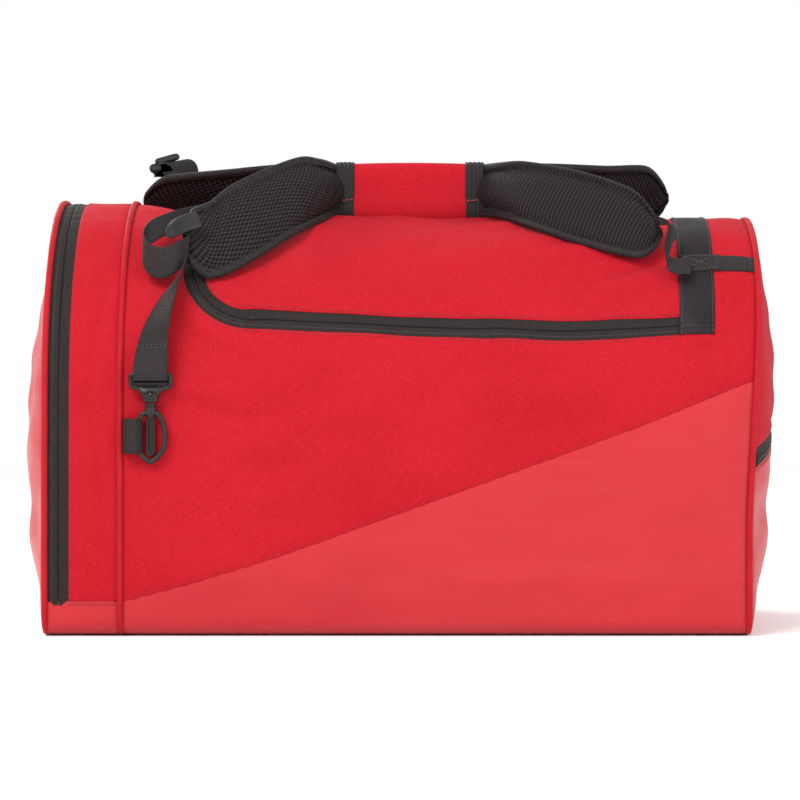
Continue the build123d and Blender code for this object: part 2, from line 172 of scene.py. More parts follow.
crest = curve_through((
    (X_SHOE - 0.04, SHOE_CREST - 0.0030), (X_SHOE + 0.002, SHOE_CREST - 0.0035), (X_SHOE + 0.038, 0.3690),
    (X_SHOE + 0.078, 0.3620), (-0.02, LID_CREST - 0.0038), (0.085, LID_CREST - 0.0016),
    (X_HINGE, LID_CREST - 0.0052),
    (X_HINGE + 0.05, LID_CREST - 0.0015), (X_RIGHT + 0.01, LID_CREST - 0.0030),
))
zip_line = curve_through((
    (-0.115, ZIP_HEIGHT + 0.0048), (-0.054, ZIP_HEIGHT + 0.0017), (0.037, ZIP_HEIGHT - 0.0013),
    (0.139, ZIP_HEIGHT - 0.0043), (0.185, ZIP_HEIGHT - 0.003), (X_HINGE, ZIP_HEIGHT + 0.0005),
), 0.05)
seam_line = curve_through((
    (X_SHOE, 0.0275), (X_SHOE + 0.026, 0.034), (X_SHOE + 0.066, 0.045), (X_SHOE + 0.132, 0.065),
    (0.200, 0.176), (X_RIGHT, 0.217),
), 0.03)
end_lean = curve_through(((0.0, -0.006), (0.10, -0.006), (0.20, -0.001), (0.30, 0.006), (0.37, 0.009)), 0.06)


# The lid's crest, the main zip's line and the slanting seam wander along the bag, and the right end leans.
# Each is given as (x, height), but the lean as (height, x).


def outline_table():
    """The D-shaped outline at the lid's crest, from the middle of the floor round by the front."""
    flat = [(y, 0.0) for y in np.linspace(0, CORNER - DEPTH, 50, endpoint=False)]
    turn = [(CORNER - DEPTH - CORNER * sin(a), CORNER - CORNER * cos(a))
            for a in np.linspace(0, pi / 2, 14, endpoint=False)]
    side = [(-DEPTH, z) for z in np.linspace(CORNER, SPRING, 80, endpoint=False)]
    roof = [(-DEPTH * cos(a), SPRING + (LID_CREST - SPRING) * sin(a)) for a in np.linspace(0, pi / 2, 300)]
    front = flat + turn + side + roof
    back = [(-y, z) for y, z in front[-2::-1]]
    return np.array(front + back)


OUTLINE = outline_table()
OUTLINE_P = travelled(OUTLINE)
GIRTH = OUTLINE_P[-1]
CREST_INDEX = len(OUTLINE) // 2
FLOOR_INDEX = 50


def rise(x):
    return (crest(x) - SPRING) / (LID_CREST - SPRING)


def outline(x, p):
    """Where the plain section is at x, a distance p round from the middle of the floor."""
    p = np.mod(p, GIRTH)
    y = np.interp(p, OUTLINE_P, OUTLINE[:, 0])
    z = np.interp(p, OUTLINE_P, OUTLINE[:, 1])
    return y, np.where(z > SPRING, SPRING + (z - SPRING) * rise(x), z)


def front_p(x, z):
    """The distance round to height z on the front; on the back it is GIRTH minus this."""
    plain = np.where(z > SPRING, SPRING + (z - SPRING) / rise(x), z)
    return np.interp(plain, OUTLINE[FLOOR_INDEX:CREST_INDEX + 1, 1], OUTLINE_P[FLOOR_INDEX:CREST_INDEX + 1])


def fold_p(p):
    """The same place on the front for a place on either side."""
    p = np.mod(p, GIRTH)
    return np.minimum(p, GIRTH - p)


def lid_left(across):
    """Where the lid's left edge is: it bows out towards the top, where across is zero."""
    return X_LID - 0.001 - 0.007 * np.clip(1 - across / 0.12, 0, 1)


def lid_distance(x, p):
    """Signed distance from the main zip's centreline, negative on the lid."""
    across = np.abs(np.mod(p, GIRTH) - GIRTH / 2)
    half = GIRTH / 2 - front_p(x, zip_line(x))
    dx = lid_left(across) + LID_CORNER - x
    dp = across - (half - LID_CORNER)
    round_corner = np.hypot(np.maximum(dx, 0), np.maximum(dp, 0))
    return np.where((dx > 0) & (dp > 0), round_corner, np.maximum(dx, dp)) - LID_CORNER


def seam_distance(x, p):
    """Height over the slanting seam, measured round the section."""
    return fold_p(p) - front_p(x, seam_line(x))


def pulled(distance, reach):
    return 1 - np.exp(-np.abs(distance) / reach)


def waves(seed, count, shortest, longest, size):
    """A sum of seeded sine waves over (x, p): the loose rise and fall of filled cloth."""
    draw = np.random.default_rng(seed)
    parts = []
    for _ in range(count):
        length = draw.uniform(shortest, longest)
        angle = draw.uniform(0, pi)
        parts.append((2 * pi / length * cos(angle), 2 * pi / length * sin(angle), draw.uniform(0, 2 * pi)))
    scale = size / np.sqrt(count / 2)
    return lambda x, p: scale * sum(np.sin(a * x + b * p + c) for a, b, c in parts)


broad_waves = waves(11, 9, 0.10, 0.24, 0.0013)
small_waves = waves(23, 12, 0.035, 0.080, 0.00062)
seam_puckers = waves(37, 8, 0.012, 0.022, 0.00035)


def crease(x0, z0, x1, z1, depth, width, side=-1):
    """A crease between two places on one long side: a shallow valley beside a low ridge."""
    p0, p1 = float(front_p(x0, z0)), float(front_p(x1, z1))
    if side > 0:
        p0, p1 = GIRTH - p0, GIRTH - p1
    length = float(np.hypot(x1 - x0, p1 - p0))
    way_x, way_p = (x1 - x0) / length, (p1 - p0) / length

    def shape(x, p):
        along = (x - x0) * way_x + (p - p0) * way_p
        across = (p - p0) * way_x - (x - x0) * way_p
        across = across + 0.06 * along * (length - along) / length
        fade = np.clip(along / length, 0, 1) * np.clip(1 - along / length, 0, 1) * 4
        valley = np.exp(-(across / width) ** 2)
        ridge = np.exp(-((across - 1.9 * width) / (1.5 * width)) ** 2)
        return CREASE_DEPTH * depth * np.sqrt(fade) * (0.6 * ridge - valley)

    return shape


# For each crease: x and z of its start, x and z of its end, depth, width, and 1 where it is on the back.
CREASES = [crease(*spec) for spec in (
    (0.224, 0.318, 0.150, 0.296, 0.0015, 0.0050), (0.226, 0.300, 0.165, 0.274, 0.0013, 0.0045),
    (0.205, 0.338, 0.120, 0.330, 0.0012, 0.0060), (0.055, 0.262, 0.120, 0.215, 0.0010, 0.0070),
    (-0.176, 0.300, -0.120, 0.262, 0.0014, 0.0050), (-0.196, 0.262, -0.125, 0.228, 0.0013, 0.0055),
    (-0.206, 0.205, -0.120, 0.180, 0.0010, 0.0070), (0.296, 0.312, 0.272, 0.262, 0.0012, 0.0045),
    (0.298, 0.270, 0.240, 0.232, 0.0012, 0.0055), (-0.252, 0.300, -0.270, 0.180, 0.0009, 0.0050),
    (-0.262, 0.200, -0.250, 0.080, 0.0009, 0.0050), (0.222, 0.316, 0.150, 0.290, 0.0014, 0.0050, 1),
    (-0.180, 0.296, -0.118, 0.256, 0.0013, 0.0055, 1), (0.296, 0.280, 0.235, 0.236, 0.0012, 0.0055, 1),
    (-0.255, 0.270, -0.268, 0.150, 0.0009, 0.0050, 1), (-0.200, 0.230, -0.110, 0.190, 0.0010, 0.0070, 1),
)]


def stand_out(x, p):
    """How far the filled cloth stands out of the plain section."""
    gaps = np.minimum(np.abs(x - X_SHOE), np.abs(X_RIGHT - x))
    gusset = np.minimum(np.abs(x - X_SHOE), np.abs(x - X_END_ZIP))
    in_main = x > X_SHOE
    reach = np.where(in_main, gaps, gusset)
    over_floor = np.clip(outline(x, p)[1] / 0.05, 0, 1)
    off_floor = over_floor ** 2 * (3 - 2 * over_floor)
    lid = lid_distance(x, p)
    near_zip = np.where(in_main & (x < X_HINGE + 0.03), np.exp(-np.abs(lid) / 0.022), 0)
    seam = np.where(in_main, np.exp(-(seam_distance(x, p) / 0.004) ** 2), 0)
    fullness = PLUMP * pulled(reach, 0.028) * np.where(in_main, 1, 0.7)
    near_seam = np.exp(-reach / 0.014) * pulled(reach, 0.003)
    mirrored = fold_p(p)
    turned = np.mod(p, GIRTH)
    soft = (broad_waves(x, turned) + small_waves(x, turned)) * pulled(reach, 0.02)
    puckers = seam_puckers(x * 0.25, mirrored * 1.6) * near_seam
    soft = soft + sum(shape(x, turned) for shape in CREASES) * pulled(reach, 0.012)
    return (fullness + soft + puckers - 0.0030 * near_zip - 0.0007 * seam) * off_floor


def surface(x, p, up):
    """A point on the filled bag, up metres over its base cloth."""
    x, p, up = level(x, p, up)
    step = 0.0015
    y, z = outline(x, p)
    y0, z0 = outline(x, p - step)
    y1, z1 = outline(x, p + step)
    length = np.hypot(y1 - y0, z1 - z0)
    push = stand_out(x, p) + up
    lean = end_lean(z) * np.clip((x - 0.05) / (X_RIGHT - 0.05), 0, 1.1)
    lifted = z + FLOOR_GAP * (1 - np.clip(z / 0.02, 0, 1))
    return np.stack([x + lean, y - (z1 - z0) / length * push, lifted + (y1 - y0) / length * push], -1)


def rim_table(x):
    y, z = outline(x, OUTLINE_P)
    angle = np.mod(np.arctan2(-y, -(z - DOME_CENTRE)), 2 * pi)
    order = np.argsort(angle)
    return angle[order], np.hypot(y, z - DOME_CENTRE)[order]


RIMS = {-1: rim_table(X_END), 1: rim_table(X_RIGHT)}


def rim_ratio(y, z, side):
    """How far (y, z) is from the end panel's middle, as a share of the way to its rim."""
    angles, radii = RIMS[side]
    angle = np.mod(np.arctan2(-y, -(z - DOME_CENTRE)), 2 * pi)
    reach = np.interp(angle, angles, radii, period=2 * pi)
    return np.hypot(y, z - DOME_CENTRE) / reach, reach


def end_surface(side, power, flatness):
    """The bulging end panel as a function of (y, z): side -1 is the shoe end, 1 the pocket end."""
    seam = X_END if side < 0 else X_RIGHT

    def place(y, z, up):
        y, z, up = level(y, z, up)
        ratio, _ = rim_ratio(y, z, side)
        ratio = np.clip(ratio, 0, 1)
        ripple = (broad_waves(y * 1.3, z * 1.3) + small_waves(y, z)) * (1 - ratio ** 4)
        height = np.clip((z - DOME_CENTRE) / DOME_CENTRE, -1, 1.2)
        swell = SWELL * (1 - ratio ** power) * (1 - flatness * height ** 2) + ripple * 1.2
        lean = end_lean(z) if side > 0 else 0
        return np.stack([seam + lean + side * (PIPING * 0.6 + swell + up), y, z], -1)

    return place


left_end = end_surface(-1, 2.6, 0.75)
right_end = end_surface(1, 3.2, 0.55)


def pocket_line(y):
    """Height of the pocket's zip on the right end: level across the middle, lower at both sides."""
    return POCKET_HEIGHT - 0.024 * np.clip((np.abs(y) - 0.085) / 0.08, 0, 1) ** 1.3


# ---------------------------------------------------------------- materials


class Paint:
    """A principled material and short calls that add nodes to it."""

    def __init__(self, name, **constants):
        self.material = bpy.data.materials.new(name)
        self.material.use_nodes = True
        self.tree = self.material.node_tree
        self.shader = self.tree.nodes["Principled BSDF"]
        for key, value in constants.items():
            self.shader.inputs[key.replace("_", " ")].default_value = value

    def add(self, kind, inputs, out=0, **settings):
        node = self.tree.nodes.new(kind)
        for key, value in settings.items():
            setattr(node, key, value)
        for key, value in inputs.items():
            if isinstance(value, bpy.types.NodeSocket):
                self.tree.links.new(value, node.inputs[key])
            else:
                node.inputs[key].default_value = value
        return node.outputs[out]

    def weave_place(self):
        return self.add("ShaderNodeAttribute", {}, 1, attribute_name="wv")

    def object_place(self):
        return self.add("ShaderNodeTexCoord", {}, 3)

    def split(self, vector):
        node = self.tree.nodes.new("ShaderNodeSeparateXYZ")
        self.tree.links.new(vector, node.inputs[0])
        return node.outputs[0], node.outputs[1], node.outputs[2]

    def maths(self, operation, a, b=0.0):
        return self.add("ShaderNodeMath", {0: a, 1: b}, operation=operation)

    def sine(self, value, factor):
        return self.maths("SINE", self.maths("MULTIPLY", value, factor))

    def noise(self, place, scale, detail=3.0, rough=0.5):
        return self.add("ShaderNodeTexNoise",
                        {"Vector": place, "Scale": scale, "Detail": detail, "Roughness": rough})

    def stretch(self, place, scale):
        return self.add("ShaderNodeMapping", {"Vector": place, "Scale": scale})

    def ramp(self, value, low_in, high_in, low_out=0.0, high_out=1.0):
        return self.add("ShaderNodeMapRange", {
            "Value": value, "From Min": low_in, "From Max": high_in, "To Min": low_out, "To Max": high_out})

    def mix(self, share, a, b):
        return self.add("ShaderNodeMix", {0: share, 6: a, 7: b}, 2, data_type="RGBA")

    def colour(self, socket):
        self.tree.links.new(socket, self.shader.inputs["Base Color"])

    def roughness(self, socket):
        self.tree.links.new(socket, self.shader.inputs["Roughness"])

    def bump(self, height, strength, distance):
        previous = self.shader.inputs["Normal"]
        inputs = {"Height": height, "Strength": strength, "Distance": distance}
        if previous.is_linked:
            inputs["Normal"] = previous.links[0].from_socket
        self.tree.links.new(self.add("ShaderNodeBump", inputs), previous)

    def threads(self, place, pitch):
        """Plain weave: a height that is high on each thread where it passes over the other."""
        u, v, _ = self.split(place)
        a = self.sine(u, pi / pitch)
        b = self.sine(v, pi / pitch)
        product = self.maths("MULTIPLY", a, b)
        return self.maths("POWER", self.maths("ABSOLUTE", product), 0.6), product


def tone(red, green, blue):
    """A cloth or plastic colour, scaled to how brightly the studio is lit."""
    return (red * ALBEDO, green * ALBEDO, blue * ALBEDO, 1.0)


def woven_red():
    paint = Paint("woven_red", Roughness=0.74, Specular_IOR_Level=0.07, Sheen_Weight=0.02,
                  Sheen_Roughness=0.5)
    height, over = paint.threads(paint.weave_place(), 0.00115)
    place = paint.object_place()
    cloud = paint.noise(place, 9, 4)
    speck = paint.noise(place, 900, 2)
    slub = paint.noise(paint.stretch(paint.weave_place(), (170, 1150, 1)), 1.0, 2)
    pick = paint.noise(paint.stretch(paint.weave_place(), (1150, 170, 1)), 1.0, 2)
    base = paint.mix(paint.ramp(cloud, 0.35, 0.65), tone(0.700, 0.0095, 0.0240), tone(0.785, 0.0145, 0.0310))
    # Where the weave is low, between the yarns, the red is painted darker: painted shade in the weave's
    # hollows.
    threads = paint.mix(paint.ramp(height, 0.0, 0.9, 0.55, 0.0), base, tone(0.330, 0.0030, 0.0090))
    crossing = paint.mix(paint.ramp(over, -0.6, 0.6, 0.0, 0.22), threads, tone(0.860, 0.030, 0.045))
    slubbed = paint.mix(paint.ramp(slub, 0.45, 0.75, 0.0, 0.38), crossing, tone(0.900, 0.038, 0.056))
    slubs = paint.mix(paint.ramp(pick, 0.48, 0.80, 0.0, 0.55), slubbed, tone(0.430, 0.004, 0.014))
    paint.colour(paint.mix(paint.ramp(speck, 0.5, 0.8, 0.0, 0.28), slubs, tone(0.430, 0.004, 0.012)))
    paint.roughness(paint.ramp(speck, 0.3, 0.7, 0.64, 0.80))
    paint.bump(height, 0.45, 0.00025)
    paint.bump(speck, 0.18, 0.0003)
    return paint.material


def coated_red():
    paint = Paint("coated_red", Roughness=0.44, Specular_IOR_Level=0.20, Coat_Weight=0.03, Coat_Roughness=0.4,
                  Sheen_Weight=0.04, Sheen_Roughness=0.4)
    place = paint.object_place()
    cloud = paint.noise(place, 7, 4)
    highlight_streak = paint.noise(paint.stretch(place, (5, 20, 55)), 1.0, 5, 0.6)
    grain = paint.noise(place, 1500, 2)
    crease = paint.noise(paint.stretch(place, (14, 30, 110)), 1.0, 4, 0.55)
    base = paint.mix(paint.ramp(cloud, 0.35, 0.65), tone(0.690, 0.0270, 0.0370), tone(0.745, 0.0330, 0.0430))
    # Paler pink streaks mixed into the coated red: painted highlight, the studio's reflection on the coating.
    highlighted = paint.mix(paint.ramp(highlight_streak, 0.50, 0.78, 0.0, 0.30), base, tone(0.780, 0.080, 0.090))
    paint.colour(paint.mix(paint.ramp(grain, 0.45, 0.75, 0.0, 0.12), highlighted, tone(0.500, 0.018, 0.025)))
    paint.roughness(paint.ramp(highlight_streak, 0.3, 0.7, 0.48, 0.36))
    paint.bump(crease, 0.22, 0.0016)
    paint.bump(grain, 0.10, 0.0002)
    return paint.material


def piping_red():
    paint = Paint("piping_red", Roughness=0.6, Specular_IOR_Level=0.12, Sheen_Weight=0.02)
    height, _ = paint.threads(paint.weave_place(), 0.0009)
    cloud = paint.noise(paint.object_place(), 30, 3)
    # The piping's red is painted darker than the woven red, as painted shade along the round piping, and
    # darker again where its weave is low, as painted shade between the yarns.
    base = paint.mix(paint.ramp(cloud, 0.3, 0.7), tone(0.610, 0.0090, 0.0200), tone(0.740, 0.0150, 0.0290))
    paint.colour(paint.mix(paint.ramp(height, 0.0, 0.9, 0.4, 0.0), base, tone(0.330, 0.004, 0.010)))
    paint.bump(height, 0.4, 0.0002)
    paint.bump(cloud, 0.25, 0.0012)
    return paint.material


def zip_tape():
    paint = Paint("zip_tape", Roughness=0.68, Specular_IOR_Level=0.12, Sheen_Weight=0.02)
    place = paint.weave_place()
    along, across, _ = paint.split(place)
    height, _ = paint.threads(place, 0.0007)
    dash = paint.maths("GREATER_THAN", paint.sine(along, 2 * pi / 0.0030), -0.2)
    distance = paint.maths("ABSOLUTE", paint.maths("SUBTRACT", across, 0.0052))
    line = paint.maths("MULTIPLY", paint.maths("LESS_THAN", distance, 0.00042), dash)
    speck = paint.noise(paint.object_place(), 700, 2)
    base = paint.mix(paint.ramp(speck, 0.35, 0.7), tone(0.028, 0.0215, 0.021), tone(0.053, 0.042, 0.040))
    # Where the tape's weave is low the black is painted darker: painted shade between the yarns.
    threads = paint.mix(paint.ramp(height, 0.0, 0.9, 0.6, 0.0), base, tone(0.014, 0.011, 0.011))
    paint.colour(paint.mix(paint.maths("MULTIPLY", line, 0.6), threads, tone(0.120, 0.105, 0.100)))
    paint.bump(height, 0.5, 0.0002)
    return paint.material


def strip_black():
    paint = Paint("strip_black", Roughness=0.5, Specular_IOR_Level=0.10)
    place = paint.object_place()
    grain = paint.noise(place, 420, 4, 0.6)
    cloud = paint.noise(place, 25, 3)
    base = paint.mix(paint.ramp(cloud, 0.3, 0.7), tone(0.020, 0.0150, 0.0165), tone(0.033, 0.0265, 0.029))
    paint.colour(paint.mix(paint.ramp(grain, 0.5, 0.75, 0.0, 0.4), base, tone(0.070, 0.060, 0.064)))
    paint.roughness(paint.ramp(grain, 0.3, 0.7, 0.55, 0.38))
    paint.bump(grain, 0.35, 0.0004)
    return paint.material


def webbing():
    paint = Paint("webbing", Roughness=0.5, Specular_IOR_Level=0.16, Sheen_Weight=0.02)
    place = paint.weave_place()
    along, across, _ = paint.split(place)
    ribs = paint.sine(across, 2 * pi / 0.0021)
    steps = paint.maths("MULTIPLY", along, 2 * pi / 0.0017)
    slant = paint.maths("ADD", steps, paint.maths("MULTIPLY", ribs, 1.1))
    picks = paint.maths("SINE", slant)
    height = paint.maths("ADD", paint.maths("MULTIPLY", ribs, 0.5), paint.maths("MULTIPLY", picks, 0.5))
    speck = paint.noise(paint.object_place(), 500, 2)
    base = paint.mix(paint.ramp(speck, 0.35, 0.7), tone(0.027, 0.0215, 0.0225), tone(0.049, 0.040, 0.042))
    # The valleys between the ribs and picks are painted darker: painted shade in the webbing's hollows.
    paint.colour(paint.mix(paint.ramp(height, -0.9, 0.9, 0.55, 0.0), base, tone(0.012, 0.010, 0.010)))
    paint.roughness(paint.ramp(speck, 0.3, 0.7, 0.42, 0.58))
    paint.bump(height, 0.6, 0.0004)
    return paint.material


def air_mesh():
    """Black spacer mesh: slanting ribs with small cells between them; the ribs are painted lighter as painted
    highlight, the cells near-black as painted shade in the holes.
    """
    paint = Paint("air_mesh", Roughness=0.62, Specular_IOR_Level=0.10, Sheen_Weight=0.01)
    along, across, _ = paint.split(paint.weave_place())
    lean_a = paint.maths("ADD", along, paint.maths("MULTIPLY", across, 0.55))
    lean_b = paint.maths("SUBTRACT", across, paint.maths("MULTIPLY", along, 0.35))
    rows = paint.sine(lean_a, 2 * pi / MESH_PITCH / 2)
    files = paint.sine(lean_b, 2 * pi / MESH_FILE_PITCH)
    knit = paint.maths("MULTIPLY", rows, files)
    holes = paint.ramp(knit, 0.05, 0.55)
    ribs = paint.ramp(knit, 0.0, -0.8)
    speck = paint.noise(paint.object_place(), 900, 2)
    base = paint.mix(paint.ramp(speck, 0.35, 0.7), tone(0.017, 0.0125, 0.0135), tone(0.030, 0.0225, 0.0240))
    # The raised ribs are painted lighter, a painted highlight, and the holes near-black, a painted shade.
    lit = paint.mix(paint.maths("MULTIPLY", ribs, 0.60), base, tone(0.074, 0.058, 0.061))
    paint.colour(paint.mix(paint.maths("MULTIPLY", holes, 0.92), lit, tone(0.003, 0.002, 0.002)))
    paint.bump(ribs, 0.5, 0.0006)
    paint.bump(holes, 0.7, -0.0009)
    return paint.material


def moulded_black():
    paint = Paint("moulded_black", Roughness=0.36, Specular_IOR_Level=0.32)
    place = paint.object_place()
    grain = paint.noise(place, 1100, 3, 0.6)
    cloud = paint.noise(place, 60, 3)
    scuff = paint.noise(paint.stretch(place, (900, 900, 90)), 1.0, 3, 0.7)
    base = paint.mix(paint.ramp(cloud, 0.3, 0.7), tone(0.015, 0.0130, 0.0135), tone(0.026, 0.0230, 0.0240))
    paint.colour(paint.mix(paint.ramp(scuff, 0.62, 0.8, 0.0, 0.5), base, tone(0.100, 0.095, 0.095)))
    paint.roughness(paint.ramp(cloud, 0.3, 0.7, 0.30, 0.44))
    paint.bump(grain, 0.22, 0.0002)
    return paint.material


def zip_metal():
    paint = Paint("zip_metal", Metallic=0.85, Roughness=0.36)
    place = paint.object_place()
    cloud = paint.noise(place, 160, 3)
    grain = paint.noise(place, 1500, 3)
    base = paint.mix(paint.ramp(cloud, 0.35, 0.7), tone(0.040, 0.038, 0.039), tone(0.080, 0.076, 0.077))
    paint.colour(paint.mix(paint.ramp(grain, 0.6, 0.8, 0.0, 0.5), base, tone(0.260, 0.250, 0.240)))
    paint.roughness(paint.ramp(cloud, 0.3, 0.7, 0.28, 0.46))
    paint.bump(grain, 0.12, 0.0001)
    return paint.material


def board():
    paint = Paint("board", Roughness=0.7, Specular_IOR_Level=0.3)
    place = paint.object_place()
    grain = paint.noise(paint.stretch(place, (30, 260, 260)), 1.0, 4)
    cloud = paint.noise(place, 14, 3)
    base = paint.mix(paint.ramp(cloud, 0.3, 0.7), tone(0.030, 0.030, 0.032), tone(0.048, 0.048, 0.050))
    paint.colour(paint.mix(paint.ramp(grain, 0.5, 0.8, 0.0, 0.4), base, tone(0.090, 0.090, 0.092)))
    paint.bump(grain, 0.3, 0.0006)
    return paint.material


def thread(name, colour):
    paint = Paint(name, Roughness=0.55, Specular_IOR_Level=0.4, Sheen_Weight=0.1)
    speck = paint.noise(paint.object_place(), 1800, 2)
    dark = tuple(channel * 0.55 for channel in colour[:3]) + (1.0,)
    paint.colour(paint.mix(paint.ramp(speck, 0.3, 0.7), dark, colour))
    paint.bump(speck, 0.3, 0.0002)
    return paint.material


MATERIALS = {make.__name__: make() for make in (
    woven_red, coated_red, piping_red, zip_tape, strip_black, webbing, air_mesh, moulded_black, zip_metal,
    board)}
RED_THREAD = thread("red_thread", tone(0.560, 0.0110, 0.0240))
BRIGHT_THREAD = thread("bright_red_thread", tone(0.950, 0.060, 0.080))
BLACK_THREAD = thread("black_thread", tone(0.075, 0.066, 0.067))


# ---------------------------------------------------------------- mesh helpers


def make_mesh(name, points, faces, weave, material, crease=50):
    """A mesh object with weave coordinates on its points, faces turned outwards and smooth shading."""
    mesh = bpy.data.meshes.new(name)
    mesh.from_pydata(np.asarray(points, float).reshape(-1, 3).tolist(), [], faces)
    work = bmesh.new()
    work.from_mesh(mesh)
    bmesh.ops.recalc_face_normals(work, faces=work.faces)
    work.to_mesh(mesh)
    work.free()
    place = mesh.attributes.new("wv", "FLOAT_VECTOR", "POINT")
    flat = np.zeros((len(mesh.vertices), 3), np.float32)
    flat[:, :2] = np.asarray(weave, float).reshape(-1, 2)
    place.data.foreach_set("vector", flat.ravel())
    mesh.shade_smooth()
    mesh.set_sharp_from_angle(angle=radians(crease))
    mesh.materials.append(material)
    return add_object(name, mesh)


def points_of(piece):
    """The piece's points as one flat array of x, y, z."""
    points = np.zeros(len(piece.data.vertices) * 3)
    piece.data.vertices.foreach_get("co", points)
    return points


def ring_faces(rings, around, closed):
    """Quads between consecutive rings of points, with flat caps when the sweep is open."""
    faces = []
    for i in range(rings if closed else rings - 1):
        here, there = i * around, (i + 1) % rings * around
        for j in range(around):
            k = (j + 1) % around
            faces.append((here + j, here + k, there + k, there + j))
    if not closed:
        faces.append(tuple(range(around)))
        last = (rings - 1) * around
        faces.append(tuple(last + j for j in reversed(range(around))))
    return faces


def loft(name, rings, material, crease=50):
    """A skin over closed rings of points, (number of rings, points each, 3)."""
    rings = np.asarray(rings, float)
    count, around, _ = rings.shape
    centres = rings.mean(axis=1)
    along = travelled(centres)
    across = travelled(rings[count // 2])
    weave = np.stack(np.broadcast_arrays(along[:, None], across[None, :]), -1)
    return make_mesh(name, rings, ring_faces(count, around, False), weave, material, crease)


def path_sides(path, closed):
    """Unit vectors across a flat path."""
    path = np.asarray(path, float)
    ahead = np.roll(path, -1, 0) - np.roll(path, 1, 0) if closed else np.gradient(path, axis=0)
    ahead = unit(ahead)
    return np.stack([-ahead[:, 1], ahead[:, 0]], 1)


def sew(name, path, profile, material, at=surface, closed=False, lift=0.0):
    """Sweeps a closed profile of (across, up) along a path drawn on a surface."""
    path = np.asarray(path, float)
    profile = np.asarray(profile, float)
    side = path_sides(path, closed)
    u = path[:, None, 0] + side[:, None, 0] * profile[None, :, 0]
    v = path[:, None, 1] + side[:, None, 1] * profile[None, :, 0]
    up = profile[None, :, 1] + np.broadcast_to(np.asarray(lift, float).reshape(-1, 1), (len(path), 1))
    along = travelled(path)
    weave = np.stack(np.broadcast_arrays(along[:, None], profile[None, :, 0]), -1)
    return make_mesh(name, at(u, v, up), ring_faces(len(path), len(profile), closed), weave, material)


def resample(path, pitch):
    path = np.asarray(path, float)
    along = travelled(path)
    count = max(2, int(round(along[-1] / pitch)) + 1)
    wanted = np.linspace(0, along[-1], count)
    return np.stack([np.interp(wanted, along, path[:, k]) for k in range(path.shape[1])], 1)


def stitches(name, paths, up, material, at=surface, radius=0.00042):
    """Rows of sewn stitches: short rounded dashes laid along the paths."""
    points, faces, weave = [], [], []
    fineness = 0.0005
    ring = full_turn(6)
    for path in paths:
        fine = resample(path, fineness)
        pitch = int((STITCH_LENGTH + STITCH_SPACE) / fineness)
        reach = int(STITCH_LENGTH / fineness)
        for start in range(0, len(fine) - reach, pitch):
            dash = fine[start:start + reach + 1]
            stations = dash[[0, reach // 4, 3 * reach // 4, reach]]
            ahead = stations[-1] - stations[0]
            side = np.array([-ahead[1], ahead[0]]) / np.linalg.norm(ahead)
            size = radius * np.array([0.35, 1, 1, 0.35])[:, None]
            u = stations[:, None, 0] + side[0] * np.cos(ring) * size
            v = stations[:, None, 1] + side[1] * np.cos(ring) * size
            height = up + np.sin(ring) * size
            base = len(points) * 24
            points.append(at(u, v, height).reshape(-1, 3))
            faces += [tuple(base + k for k in face) for face in ring_faces(4, 6, False)]
            weave.append(np.stack([u, v], -1).reshape(-1, 2))
    return make_mesh(name, np.concatenate(points), faces, np.concatenate(weave), material)


def patch(name, us, vs, distance, at, material, thickness=CLOTH, drop=0.0007):
    """A sheet of cloth: the part of a grid where distance is negative, its edge drawn onto the cut line."""
    us, vs = np.asarray(us, float), np.asarray(vs, float)
    u, v = np.meshgrid(us, vs, indexing="ij")
    mid_u, mid_v = np.meshgrid((us[1:] + us[:-1]) / 2, (vs[1:] + vs[:-1]) / 2, indexing="ij")
    kept = distance(mid_u, mid_v) < 0
    wide = np.pad(kept, 1)
    touching = wide[1:, 1:].astype(int) + wide[:-1, 1:] + wide[1:, :-1] + wide[:-1, :-1]
    used = touching > 0
    edge = used & (touching < 4)
    step = 0.0004
    du, dv = us[1] - us[0], vs[1] - vs[0]
    pu, pv = u[edge], v[edge]
    for _ in range(5):
        d = distance(pu, pv)
        gu = (distance(pu + step, pv) - distance(pu - step, pv)) / (2 * step)
        gv = (distance(pu, pv + step) - distance(pu, pv - step)) / (2 * step)
        size = np.maximum(gu ** 2 + gv ** 2, 0.05)
        pu = pu - np.clip(d * gu / size, -du, du)
        pv = pv - np.clip(d * gv / size, -dv, dv)
    u[edge], v[edge] = pu, pv
    near = np.pad(edge, 2)
    rows, cols = edge.shape
    free = np.zeros_like(edge)
    for a in range(5):
        for b in range(5):
            free |= near[a:a + rows, b:b + cols]
    free &= used & ~edge
    for _ in range(4):
        for grid in (u, v):
            mean = grid.copy()
            mean[1:-1, 1:-1] = (grid[2:, 1:-1] + grid[:-2, 1:-1] + grid[1:-1, 2:] + grid[1:-1, :-2]) / 4
            grid[free] = mean[free]
    index = np.full(used.shape, -1)
    index[used] = np.arange(used.sum())
    low_edge = np.where(edge, drop, 0)[used]
    top = at(u[used], v[used], thickness - low_edge)
    bottom = at(u[used], v[used], np.zeros_like(low_edge))
    count = int(used.sum())
    faces, rims = [], {}
    for i, j in np.argwhere(kept):
        corners = [int(index[i, j]), int(index[i + 1, j]), int(index[i + 1, j + 1]), int(index[i, j + 1])]
        faces.append(tuple(corners))
        faces.append(tuple(k + count for k in reversed(corners)))
        for a, b in zip(corners, corners[1:] + corners[:1]):
            if (b, a) in rims:
                del rims[(b, a)]
            else:
                rims[(a, b)] = True
    faces += [(b, a, a + count, b + count) for a, b in rims]
    weave = np.tile(np.stack([u[used], v[used]], -1), (2, 1))
    return make_mesh(name, np.concatenate([top, bottom]), faces, weave, material)


